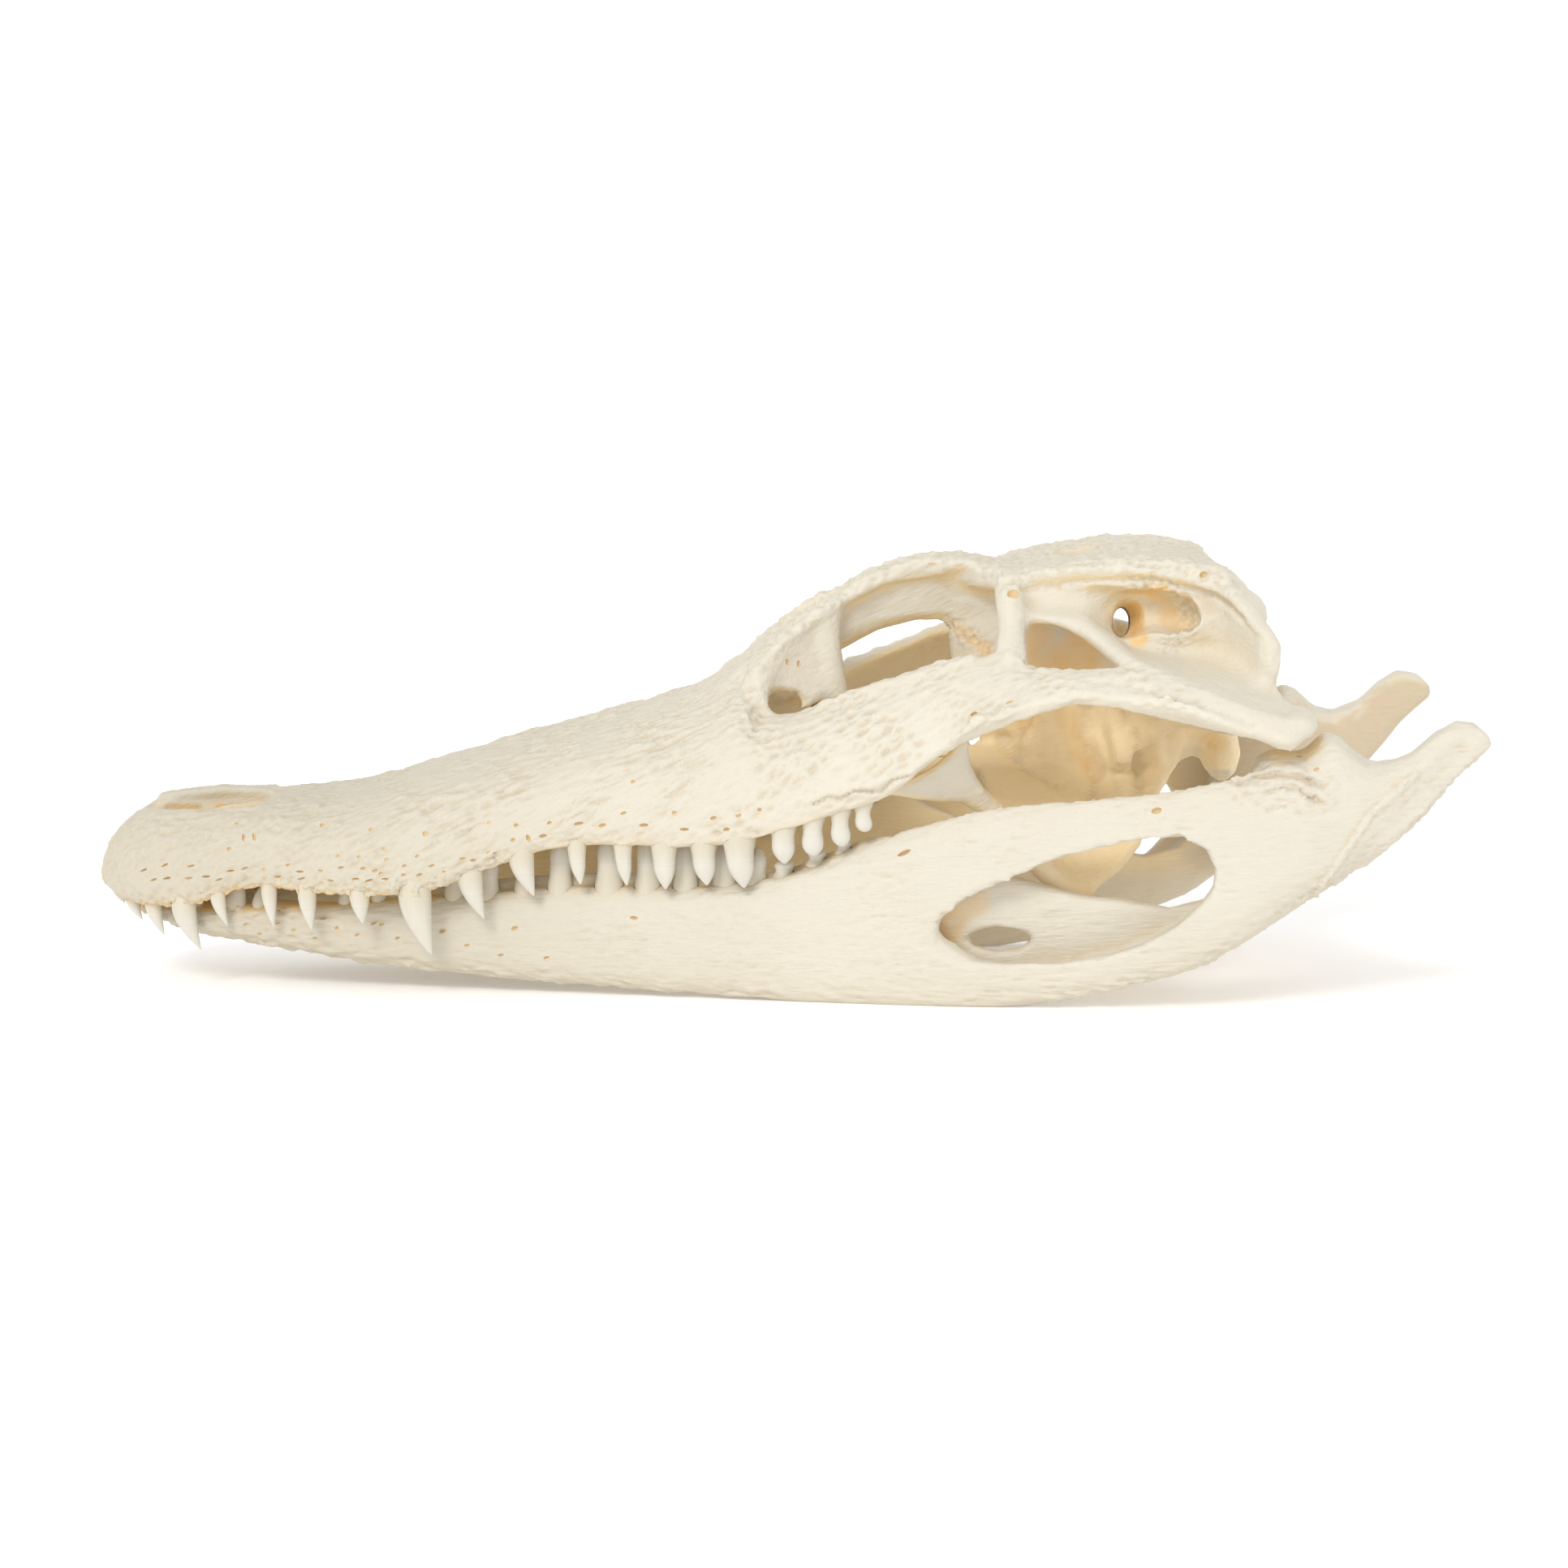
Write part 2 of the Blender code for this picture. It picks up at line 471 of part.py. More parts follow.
INNER_WALL_TOP = [
    (154, 46), (160, 39), (166, 34.5), (172, 31), (180, 28), (190, 25.4), (200, 22.6), (209, 21.8),
    (218, 20), (226, 22), (232, 31), (236, 46)]
FOSSA = [
    (156, 40), (159, 28), (163, 17), (168, 10.6), (173, 7.6), (184, 6), (196, 6.8), (208, 9.6),
    (220, 15), (228, 22), (234, 36)]
OUTER_WALL = 3.8
INNER_WALL = 2.6
INNER_HOLE = ((184.1, 36, 13.3), (6.6, 12, 2.5))


def ramus_ring(x, sides=24):
    """A tall section with flat sides and rounded edges, its foot set inwards."""
    inner, outer, top, foot = RAMUS_INNER(x), RAMUS_OUTER(x), RAMUS_TOP(x), RAMUS_FOOT(x)
    middle_y, half_y = (inner + outer) / 2, (outer - inner) / 2
    middle_z, half_z = (top + foot) / 2, (top - foot) / 2
    ring = []
    for t in turns(sides):
        up, out = soften(math.cos(t), RAMUS_SQUARENESS), soften(math.sin(t), RAMUS_SQUARENESS)
        lean = RAMUS_LEAN(x) * (up - 1) / 2
        ring.append((x, middle_y + half_y * out + lean, middle_z + half_z * up))
    return ring


def fossa_ring(x, foot):
    """The trough between the jaw's two walls, open at the top."""
    a, b = RAMUS_INNER(x) + INNER_WALL, RAMUS_OUTER(x) - OUTER_WALL
    shift = RAMUS_LEAN(x)
    return [(x, a, 62), (x, a, foot + 14), (x, a - shift * 0.6, foot + 2), (x, (a + b) / 2 - shift, foot),
            (x, b - shift, foot + 2), (x, b - 0.3, foot + 16), (x, b, 62)]


def inner_gap_ring(x, foot):
    """The space over the low inner wall."""
    reach = RAMUS_INNER(x) + INNER_WALL + 0.4
    return [(x, 24, foot), (x, reach, foot), (x, reach, 64), (x, 24, 64)]


def ramus_openings():
    """The jaw muscles' trough, the outer window, the low inner wall and its hole."""
    cuts = Shells()
    cuts.skin([fossa_ring(x, foot) for x, foot in FOSSA])
    cuts.skin([inner_gap_ring(x, foot) for x, foot in INNER_WALL_TOP])
    cuts.prism(WINDOW, *WINDOW_REACH)
    cuts.ball(*INNER_HOLE)
    return cuts.object()


# Teeth: place along the jaw, radius at the gum, crown length, rake of the tip, bluntness from 0 to 1

UPPER_TEETH = [
    (3.6, 1.2, 2.6, 1, 0), (7, 1.6, 4.8, 2.2, 0), (11.8, 1.7, 6.8, 1.9, 0),
    (18.4, 2.3, 9.7, 3.2, 0), (25.8, 1.6, 6.2, 1.9, 0), (36.3, 1.5, 7, 0.6, 0),
    (44.3, 1.8, 7.6, 0.8, 0), (55.2, 2.0, 5.9, 0.8, 0), (66.6, 3.4, 13.4, 3.3, 0),
    (77.9, 2.5, 9, 2.6, 0), (88.2, 2.4, 7.6, 2.2, 0), (99.5, 1.8, 8.2, 0.4, 0.1),
    (108.9, 2.1, 7.5, 0.2, 0.2), (117, 2.5, 8.7, 0.3, 0.3), (125, 2.4, 8, 0.6, 0.4),
    (132.3, 3.1, 9.3, 0.9, 0.5), (140.8, 2.7, 7.5, 0.7, 0.8), (146.8, 2.5, 8, 0.5, 1),
    (152.1, 2.2, 7.6, 0.6, 1), (156.8, 2.0, 6.2, 0.5, 1)]
LOWER_TEETH = [
    (10, 1.4, 4, 0.6, 0), (14.4, 1.4, 4, 0.6, 0), (20.5, 1.5, 4.4, 0.6, 0),
    (28.8, 2.2, 6.4, 0.8, 0), (37, 1.5, 4.4, 0.5, 0), (43.5, 1.5, 4.4, 0.5, 0),
    (50.5, 1.6, 4.8, 0.5, 0), (58.5, 1.7, 5, 0.5, 0), (66, 1.7, 5.2, 0.5, 0),
    (73.8, 1.8, 6.6, 0.6, 0), (81.3, 1.9, 7.4, 0.6, 0.1), (88.5, 2.0, 8, 0.6, 0.2),
    (95.7, 2.3, 8.8, 0.4, 0.3), (105.5, 2.3, 9, 0.3, 0.4), (113.6, 2.5, 8.8, 0.3, 0.5),
    (121.6, 2.6, 8.2, 0.3, 0.6), (129, 2.4, 7, 0.3, 0.7), (137.5, 2.4, 5, 0.2, 0.9),
    (144.5, 2.3, 4.2, 0.2, 1), (151, 1.9, 3.4, 0.2, 1)]
POINTED = [(-0.4, 0.9), (0.1, 1), (0.6, 0.64), (1, 0.1)]
BULBOUS = [(-0.4, 0.8), (0.15, 0.86), (0.6, 1.1), (1, 0.42)]
LOWER_ROW_INSET = profile((6, 3.2), (60, 3.6), (110, 4), (130, 5), (155, 5.4))
TOOTH_SIDES = 5
TOOTH_FLATNESS = 0.9
INWARD_RAKE = 0.3                    # how far a tip leans inwards, as a share of its rake
CROWN_SPREAD = 0.06
TOOTH_SEEDS = {("upper", 1): 1, ("upper", -1): 2, ("lower", 1): 3, ("lower", -1): 4}


def tooth_rings(foot, radius, length, rake, blunt, down):
    """Rings of one tooth from its sunken root to its tip, raked back and a little inwards."""
    sign = -1 if down else 1
    rings = []
    for (share, narrow), (_, wide) in zip(POINTED, BULBOUS):
        reach = radius * (narrow + (wide - narrow) * blunt)
        bend = rake * share * abs(share)
        middle = foot + Vector((bend, -bend * INWARD_RAKE, sign * length * share))
        rings.append([middle + Vector((math.cos(t), TOOTH_FLATNESS * math.sin(t), 0)) * reach
                      for t in turns(TOOTH_SIDES)])
    return rings


def teeth(jaw, side):
    """One side's upper or lower teeth, each a closed shell rooted in its jaw."""
    draw = random.Random(TOOTH_SEEDS[jaw, side])
    row = Shells()
    for x, radius, length, rake, blunt in UPPER_TEETH if jaw == "upper" else LOWER_TEETH:
        length *= 1 + draw.uniform(-CROWN_SPREAD, 0)
        if jaw == "upper":
            foot = Vector((x, UPPER_ROW(x), TOOTH_LINE(x) + 0.6))
        else:
            foot = Vector((x, RAMUS_OUTER(x) - LOWER_ROW_INSET(x), RAMUS_TOP(x) - 0.8))
        row.skin(tooth_rings(foot, radius, length, rake, blunt, jaw == "upper"))
    if side < 0:
        row.mirror()
    return row.object("teeth")


# Making the bones

SNOUT_STATIONS = [0, 0.7, 1.5, 2.5, 4, 6, 8, 11, *range(14, 137, 3)]
FRONTAL_STATIONS = range(116, 191, 3)
TABLE_STATIONS = [178, 180, 182, 183.5, 185, 187, 189, 191, *range(194, 232, 3)]
BRAINCASE_STATIONS = [175, 176, 177.5, 179, 181, *range(184, 232, 3)]
PALATE_STATIONS = range(112, 223, 5)
CHEEK_STATIONS = [*np.arange(104, 241, 2.5), 242]
RAMUS_STATIONS = [6.5, 7.5, 9, 11, *range(14, 244, 4), *range(244, 280, 2), 280.4]
RAMUS_VOXEL = 0.72
RAMUS_OPENING_VOXEL = 0.63
RELAX_ROUNDS = 4
REACH = 400                          # farther out than any bone
SPAN = {
    "snout": ((-REACH, -REACH, -REACH), (SUTURE_X - GAP / 2, REACH, REACH)),
    "cranium": ((SUTURE_X + GAP / 2, -REACH, -REACH), (REACH, REACH, REACH)),
}


def settle(obj):
    """Applies the object's modifiers by giving it the mesh that they make."""
    graph = bpy.context.evaluated_depsgraph_get()
    graph.update()
    mesh = bpy.data.meshes.new_from_object(obj.evaluated_get(graph))
    obj.modifiers.clear()
    obj.data = mesh
    return obj


def join(obj, others):
    """Adds the shells of other objects to an object's mesh, still apart."""
    bm = bmesh.new()
    for part in (obj, *others):
        bm.from_mesh(part.data)
    bm.to_mesh(obj.data)
    bm.free()
    for part in others:
        bpy.data.objects.remove(part)
    return obj


def boolean(obj, other, operation):
    """Joins or cuts one object by another, which is then removed."""
    step = obj.modifiers.new(operation.lower(), "BOOLEAN")
    step.operation = operation
    step.object = other
    step.solver = "MANIFOLD"
    settle(obj)
    bpy.data.objects.remove(other)
    return obj


def bodies_of(bm):
    """The mesh's separate bodies, each a list of its vertices, in their own order."""
    seen, bodies = set(), []
    for first in bm.verts:
        if first in seen:
            continue
        seen.add(first)
        body = [first]
        for v in body:
            near = [e.other_vert(v) for e in v.link_edges if e.other_vert(v) not in seen]
            seen.update(near)
            body += near
        bodies.append(body)
    return bodies


def unite(obj, shells):
    """One union of a bone with the loose shells of another object."""
    group = bpy.data.collections.new("shells")
    bm = bmesh.new()
    bm.from_mesh(shells.data)
    for body in bodies_of(bm):
        single = bm.copy()
        single.verts.ensure_lookup_table()
        kept = {v.index for v in body}
        bmesh.ops.delete(single, geom=[v for v in single.verts if v.index not in kept], context="VERTS")
        mesh = bpy.data.meshes.new("shell")
        single.to_mesh(mesh)
        single.free()
        group.objects.link(bpy.data.objects.new("shell", mesh))
    bm.free()
    bpy.data.objects.remove(shells)
    step = obj.modifiers.new("union", "BOOLEAN")
    step.operation = "UNION"
    step.operand_type = "COLLECTION"
    step.collection = group
    step.solver = "MANIFOLD"
    settle(obj)
    for part in list(group.objects):
        bpy.data.objects.remove(part)
    bpy.data.collections.remove(group)
    return obj


def fuse(obj, size=VOXEL):
    """Fuses all shells of an object into one even skin."""
    step = obj.modifiers.new("fuse", "REMESH")
    step.mode = "VOXEL"
    step.voxel_size = size * MM
    return settle(obj)


def relax(obj, rounds):
    """Rounds off the bone's edges a little."""
    step = obj.modifiers.new("relax", "SMOOTH")
    step.iterations = rounds
    step.factor = 0.5
    return settle(obj)


def thin_out(obj, faces):
    """Keeps about that many triangles."""
    step = obj.modifiers.new("thin", "DECIMATE")
    step.ratio = faces / sum(len(face.vertices) - 2 for face in obj.data.polygons)
    step.use_collapse_triangulate = True
    return settle(obj)


def keep_box(obj, low, high):
    """Keeps what lies between two corners, cut flat."""
    box = Shells()
    box.block(low, high)
    return boolean(obj, box.object(), "INTERSECT")


def largest_body(obj):
    """Keeps the largest closed surface of the object."""
    bm = bmesh.new()
    bm.from_mesh(obj.data)
    for body in sorted(bodies_of(bm), key=len)[:-1]:
        bmesh.ops.delete(bm, geom=body, context="VERTS")
    bm.to_mesh(obj.data)
    bm.free()
    return obj


def copy_of(obj, name):
    made = bpy.data.objects.new(name, obj.data.copy())
    bpy.context.scene.collection.objects.link(made)
    return made


def bone_material():
    material = bpy.data.materials.new("bone")
    material.use_nodes = True
    shader = material.node_tree.nodes["Principled BSDF"]
    shader.inputs["Base Color"].default_value = (0.84, 0.79, 0.68, 1)
    shader.inputs["Roughness"].default_value = 0.55
    shader.inputs["Metallic"].default_value = 0
    return material


def make_upper():
    """The snout and the cranium, with the upper teeth."""
    middle, sides = upper_skull()
    skull = fuse(join(middle, [sides]))
    boolean(skull, fuse(upper_openings()), "DIFFERENCE")
    thin_out(largest_body(relax(fuse(skull), RELAX_ROUNDS)), UPPER_FACES)
    pieces = [keep_box(copy_of(skull, name), *span) for name, span in SPAN.items()]
    bpy.data.objects.remove(skull)
    return pieces


def make_ramus():
    """The right half of the lower jaw, without its teeth."""
    jaw = Shells()
    jaw.skin([ramus_ring(x) for x in RAMUS_STATIONS])
    ramus = fuse(jaw.object("mandible_right"))
    boolean(ramus, fuse(ramus_openings(), RAMUS_OPENING_VOXEL), "DIFFERENCE")
    relax(fuse(ramus, RAMUS_VOXEL), RELAX_ROUNDS)
    thin_out(largest_body(ramus), RAMUS_FACES)
    return keep_box(ramus, (-REACH, GAP / 2, 0), (REACH, REACH, REACH))


def main():
    for obj in list(bpy.data.objects):
        bpy.data.objects.remove(obj)
    snout, cranium = make_upper()
    right = make_ramus()
    left = copy_of(right, "mandible_left")
    left.data.transform(Matrix.Diagonal((1, -1, 1, 1)))
    left.data.flip_normals()
    material = bone_material()
    for node, side in ((right, 1), (left, -1)):
        unite(node, teeth("lower", side))
        for upper in (snout, cranium):
            unite(upper, keep_box(teeth("upper", side), *SPAN[upper.name]))
    for node in (snout, cranium, left, right):
        largest_body(node)
        node.data.transform(Matrix.Translation((-OVERALL / 2 * MM, 0, 0)))
        node.data.materials.clear()
        node.data.materials.append(material)


main()
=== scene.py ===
"""A cleaned alligator skull with its lower jaw in place, finished in bone and enamel.

Sizes in the sections are millimetres on the skull: x from the snout's tip backwards,
y from the midline outwards, z up from the table. MM turns them into metres.
"""

import math
import random

import bpy
import numpy as np
from mathutils import Matrix, Vector


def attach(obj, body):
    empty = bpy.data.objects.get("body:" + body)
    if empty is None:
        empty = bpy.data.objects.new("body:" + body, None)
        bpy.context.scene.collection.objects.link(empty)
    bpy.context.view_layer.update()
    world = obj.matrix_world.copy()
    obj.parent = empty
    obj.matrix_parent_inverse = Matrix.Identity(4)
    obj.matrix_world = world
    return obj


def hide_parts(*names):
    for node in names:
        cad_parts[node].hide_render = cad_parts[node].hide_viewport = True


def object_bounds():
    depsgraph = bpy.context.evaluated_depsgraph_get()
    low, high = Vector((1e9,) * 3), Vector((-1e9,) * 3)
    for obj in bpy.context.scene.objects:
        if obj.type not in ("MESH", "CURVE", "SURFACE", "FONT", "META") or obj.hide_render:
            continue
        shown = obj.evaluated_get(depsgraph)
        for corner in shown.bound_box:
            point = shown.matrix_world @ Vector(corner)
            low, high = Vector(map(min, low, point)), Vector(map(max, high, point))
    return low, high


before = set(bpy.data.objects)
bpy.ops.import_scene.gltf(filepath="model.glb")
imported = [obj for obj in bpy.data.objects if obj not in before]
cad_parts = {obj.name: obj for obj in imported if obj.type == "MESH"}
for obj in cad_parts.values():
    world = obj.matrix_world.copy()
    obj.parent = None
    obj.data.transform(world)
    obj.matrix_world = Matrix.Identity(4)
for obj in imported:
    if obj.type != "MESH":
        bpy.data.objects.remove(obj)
cad_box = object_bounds()

# The camera stands a metre off the animal's left side, a hand above it, and looks a little
# down, as the photograph does. Small marks are named by the pixel that shows them there.

IMAGE = 1932
SENSOR = 36
LENS = 110.91
CAMERA_PLACE = (0.0009, -0.99144, 0.17053)
CAMERA_PITCH = math.radians(82.5)

bpy.ops.object.camera_add(location=CAMERA_PLACE, rotation=(CAMERA_PITCH, 0, 0))
camera = bpy.context.object
camera.name = "camera"
camera.data.sensor_width = SENSOR
camera.data.lens = LENS
camera.data.clip_start = 0.01
bpy.context.scene.camera = camera
bpy.context.view_layer.update()


def sight_line(px, py):
    """Direction from the camera through a pixel of the photograph."""
    across = (px - IMAGE / 2) / IMAGE * SENSOR / LENS
    up = (IMAGE / 2 - py) / IMAGE * SENSOR / LENS
    return (camera.matrix_world.to_3x3() @ Vector((across, up, -1))).normalized()


# The bare bones: the upper skull, which is one piece of bone grown together, and the two
# halves of the lower jaw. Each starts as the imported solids, less their plain teeth, and is
# given one fine, even skin.

MM = 0.001
SNOUT_TIP = cad_box[0].x
JOINT_X = -0.0121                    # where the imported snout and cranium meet
SEAM_X = 128                         # the same place in skull millimetres
AT_JOINT = 0.0002                    # a vertex this near to JOINT_X is on their cut faces
SEAL = 0.0005                        # how far those faces are pushed into each other
SKIN = 0.0005                        # size of one face of the fine skin
SMOOTHINGS = 10
SMOOTH_IN, SMOOTH_OUT = 0.5, -0.51   # the second undoes the first one's shrinking
TOOTH_LINE = (
    (0, 19), (5, 17.6), (14, 16.9), (21, 17.6), (26, 19.7), (31, 21.2), (45, 20.7), (56, 20.8),
    (66, 21.6), (74, 23.6), (82, 26.9), (92, 30.3), (103, 31.8), (118, 31.7), (127, 32.3),
    (132, 33.2), (138, 35.3), (148, 38.5), (158, 41.2), (166, 43.6))
UPPER_ROW = (
    (2, 3), (6, 8.6), (10.6, 13), (17.6, 17), (25, 19.2), (36, 21.4), (44, 24.2), (54, 27.5),
    (66, 29.6), (78, 30.2), (90, 31), (106, 32.8), (124, 35.4), (140, 38.4), (158, 41.2), (170, 42.6))
JAW_TOP = (
    (6.5, 16), (14, 16.6), (30, 17.4), (50, 18), (66, 19.6), (80, 20.8), (91, 22.2), (107, 23.2),
    (126, 23.4), (134, 24.1), (142, 26.4), (152, 31), (162, 35.4), (174, 39.4))
LOWER_ROW = (
    (6.5, 1.6), (9, 4.6), (15, 9.2), (25, 13), (35, 15), (50, 17.1), (64, 19), (81, 22), (97, 25),
    (114, 28), (130, 30.4), (150, 34.3), (160, 36.4))
UPPER_BITE = (-2, 162)               # stretch of x that carries upper teeth
LOWER_BITE = (5, 156)
ROW_REACH = 6                        # half the width of the strip that the plain teeth fill


def along(line, x):
    """Value of a (distance, value) line at x."""
    xs, values = zip(*line)
    return np.interp(x, xs, values)


def select(*objects):
    bpy.ops.object.select_all(action="DESELECT")
    for obj in objects:
        obj.select_set(True)
    bpy.context.view_layer.objects.active = objects[0]


def modify(obj, kind, **settings):
    """Adds a modifier with these settings and applies it."""
    select(obj)
    step = obj.modifiers.new(kind.lower(), kind)
    for name, value in settings.items():
        setattr(step, name, value)
    bpy.ops.object.modifier_apply(modifier=step.name)


def in_edit_mode(obj, *steps):
    """Runs mesh operators on all of an object, each given as (operator, settings)."""
    select(obj)
    bpy.ops.object.mode_set(mode="EDIT")
    bpy.ops.mesh.select_all(action="SELECT")
    for operator, settings in steps:
        operator(**settings)
    bpy.ops.object.mode_set(mode="OBJECT")


def points_of(obj):
    """Vertices in skull millimetres."""
    flat = np.empty(len(obj.data.vertices) * 3, np.float32)
    obj.data.vertices.foreach_get("co", flat)
    return flat.reshape(-1, 3) / MM - (SNOUT_TIP / MM, 0, 0)


def normals_of(obj):
    flat = np.empty(len(obj.data.vertices) * 3, np.float32)
    obj.data.vertex_normals.foreach_get("vector", flat)
    return flat.reshape(-1, 3)


def move_to(obj, points):
    """Puts the vertices at these skull millimetres."""
    flat = ((points + (SNOUT_TIP / MM, 0, 0)) * MM).astype(np.float32).ravel()
    obj.data.vertices.foreach_set("co", flat)
    obj.data.update()


def bone_copy(node):
    """A copy of a packed bone, its loose triangles merged into one closed skin."""
    made = bpy.data.objects.new(node + "_copy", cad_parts[node].data.copy())
    bpy.context.scene.collection.objects.link(made)
    made.data.materials.clear()
    in_edit_mode(made, (bpy.ops.mesh.remove_doubles, {"threshold": 0.00001}))
    return made


def cut(obj, *cutters):
    """Takes closed shapes out of an object, which keep their material where they cut."""
    group = bpy.data.collections.new("cutters")
    for shape in cutters:
        group.objects.link(shape)
    modify(obj, "BOOLEAN", operation="DIFFERENCE", solver="MANIFOLD", operand_type="COLLECTION",
           collection=group, material_mode="TRANSFER")
    for shape in cutters:
        bpy.data.objects.remove(shape)
    bpy.data.collections.remove(group)


def tooth_strip(line, row, bite, clearance, fall, side):
    """The closed strip of space along a jaw's edge that its teeth stand in."""
    bpy.ops.mesh.primitive_grid_add(x_subdivisions=120, y_subdivisions=1, size=1)
    strip = bpy.context.object
    points = points_of(strip)
    shares = points * MM + (SNOUT_TIP, 0, 0)
    x = bite[0] + (bite[1] - bite[0]) * (shares[:, 0] + 0.5)
    y = side * (along(row, x) + np.sign(shares[:, 1]) * ROW_REACH)
    move_to(strip, np.column_stack((x, y, along(line, x) + clearance)))
    fall_away = {"TRANSFORM_OT_translate": {"value": (0, 0, fall * MM)}}
    in_edit_mode(strip, (bpy.ops.mesh.extrude_region_move, fall_away),
                 (bpy.ops.mesh.select_all, {"action": "SELECT"}),
                 (bpy.ops.mesh.normals_make_consistent, {}))
    return strip


def ramp(value, low, high):
    """0 below low and 1 above high, with a smooth rise between them."""
    t = np.clip((value - low) / (high - low), 0, 1)
    return t * t * (3 - 2 * t)


def mark(obj, name, shares, levels=24):
    """A vertex group with these weights, in a few levels."""
    group = obj.vertex_groups.new(name=name)
    steps = np.rint(np.clip(shares, 0, 1) * levels).astype(int)
    for step in range(1, levels + 1):
        group.add(np.flatnonzero(steps == step).tolist(), step / levels, "REPLACE")


def fine_skin(obj):
    """One even skin of small faces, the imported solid's flat facets rounded away."""
    modify(obj, "REMESH", mode="VOXEL", voxel_size=SKIN, use_smooth_shade=True)
    for factor in (SMOOTH_IN, SMOOTH_OUT) * SMOOTHINGS:
        modify(obj, "SMOOTH", factor=factor, iterations=2)


halves = [bone_copy("snout"), bone_copy("cranium")]
for half, push in zip(halves, (SEAL, -SEAL)):
    cut(half, tooth_strip(TOOTH_LINE, UPPER_ROW, UPPER_BITE, -0.1, -22, 1),
        tooth_strip(TOOTH_LINE, UPPER_ROW, UPPER_BITE, -0.1, -22, -1))
    for vertex in half.data.vertices:
        if abs(vertex.co.x - JOINT_X) < AT_JOINT:
            vertex.co.x += push
select(*halves)
bpy.ops.object.join()
upper = bpy.context.object
upper.name = "upper_skull"
fine_skin(upper)
seam = np.abs(points_of(upper)[:, 0] - SEAM_X)
mark(upper, "seam", 1 - ramp(seam, 3, 9))
modify(upper, "SMOOTH", factor=0.7, iterations=60, vertex_group="seam")

jaws = []
for name, side in (("left", -1), ("right", 1)):
    jaw = bone_copy("mandible_" + name)
    jaw.name = "jaw_" + name
    cut(jaw, tooth_strip(JAW_TOP, LOWER_ROW, LOWER_BITE, -0.3, 22, side))
    fine_skin(jaw)
    jaws.append(jaw)
bones = [upper, *jaws]

# How open each spot lies. Skin covers the outer bone in life and leaves it pitted; the
# hollows stay smooth, and there the bone keeps a warmer, yellower tone, over which warm bounce
# light is painted where they lie in shade.

CELL = 1.5                           # of the grid that counts the bone surface nearby
BLUR = 7                             # cells
STAND_OFF = 5.5                      # how far off the surface the count is read
MARGIN = 30

every_point = np.concatenate([points_of(bone) for bone in bones])
grid_low = every_point.min(axis=0) - MARGIN
grid_shape = np.ceil((every_point.max(axis=0) + MARGIN - grid_low) / CELL).astype(int)
cells = ((every_point - grid_low) / CELL).astype(int)
crowd = np.bincount(np.ravel_multi_index(cells.T, grid_shape), minlength=grid_shape.prod())
crowd = crowd.reshape(grid_shape).astype(np.float32)
for axis in (0, 1, 2) * 2:
    total = np.cumsum(crowd, axis=axis)
    crowd = (np.roll(total, -(BLUR // 2), axis) - np.roll(total, BLUR // 2 + 1, axis)) / BLUR


def crowding(points, normals):
    """How much bone stands round a place just off the surface."""
    spots = (points + normals * STAND_OFF - grid_low) / CELL - 0.5
    base = np.floor(spots).astype(int)
    part = spots - base
    value = 0
    for corner in np.ndindex(2, 2, 2):
        share = np.prod(np.where(corner, part, 1 - part), axis=1)
        value = value + share * crowd[tuple((base + corner).T)]
    return value


# The finer forms of the bone, which the solids leave smooth: ledges, grooves, seams between the
# grown-together bones and scars where muscle held. Each follows a line of pixels that the
# photograph shows, and the far side has the same.

SKULL_FORMS = (                      # depth, half width in millimetres, line of pixels
    (0.8, 5.5, ((1275, 744), (1330, 738), (1400, 735), (1500, 752))),
    (-0.7, 1.6, ((1236, 716), (1300, 703), (1380, 700), (1460, 711), (1520, 738), (1550, 775))),
    (0.8, 1.6, ((1262, 724), (1330, 717), (1420, 716), (1495, 733), (1530, 762))),
    (-0.6, 1.8, ((905, 872), (920, 840), (955, 800), (1000, 765), (1040, 738), (1090, 716),
                 (1160, 704))),
    (-0.5, 2.0, ((1010, 868), (1060, 852), (1130, 832), (1210, 806))),
    (0.7, 0.9, ((1003, 992), (1020, 984), (1035, 986), (1052, 976), (1085, 977), (1100, 962),
                (1118, 958))),
    (0.4, 1.6, ((1330, 838), (1400, 846), (1480, 868), (1545, 893))),
    (1.1, 3.2, ((1338, 874), (1334, 910), (1350, 950), (1346, 992))),
    (-1.1, 3.2, ((1368, 872), (1378, 920), (1392, 972))),
    (0.9, 2.4, ((1396, 905), (1402, 945), (1400, 985))),
    (-0.8, 2.6, ((1424, 900), (1428, 935), (1420, 970))),
    (0.8, 3.0, ((1235, 912), (1262, 945), (1300, 965))),
    (1.2, 1.3, ((188, 990), (215, 995), (250, 996), (300, 992), (338, 984))),
    (-0.8, 1.6, ((190, 984), (225, 978), (280, 974), (335, 976))))
JAW_FORMS = (
    (0.9, 1.1, ((1528, 962), (1548, 955), (1575, 952), (1605, 957), (1632, 970))),
    (0.8, 1.0, ((1560, 976), (1582, 970), (1602, 974), (1622, 988))),
    (0.5, 1.0, ((1562, 1000), (1584, 994))),
    (-0.6, 1.5, ((1540, 970), (1570, 962), (1606, 967), (1640, 988))),
    (0.8, 4.0, ((1650, 1100), (1705, 1030), (1755, 978), (1800, 928))),
    (-0.8, 1.2, ((1602, 1128), (1640, 1076), (1690, 1004), (1745, 955))),
    (-0.4, 2.2, ((880, 1094), (980, 1082), (1080, 1066), (1180, 1044))))
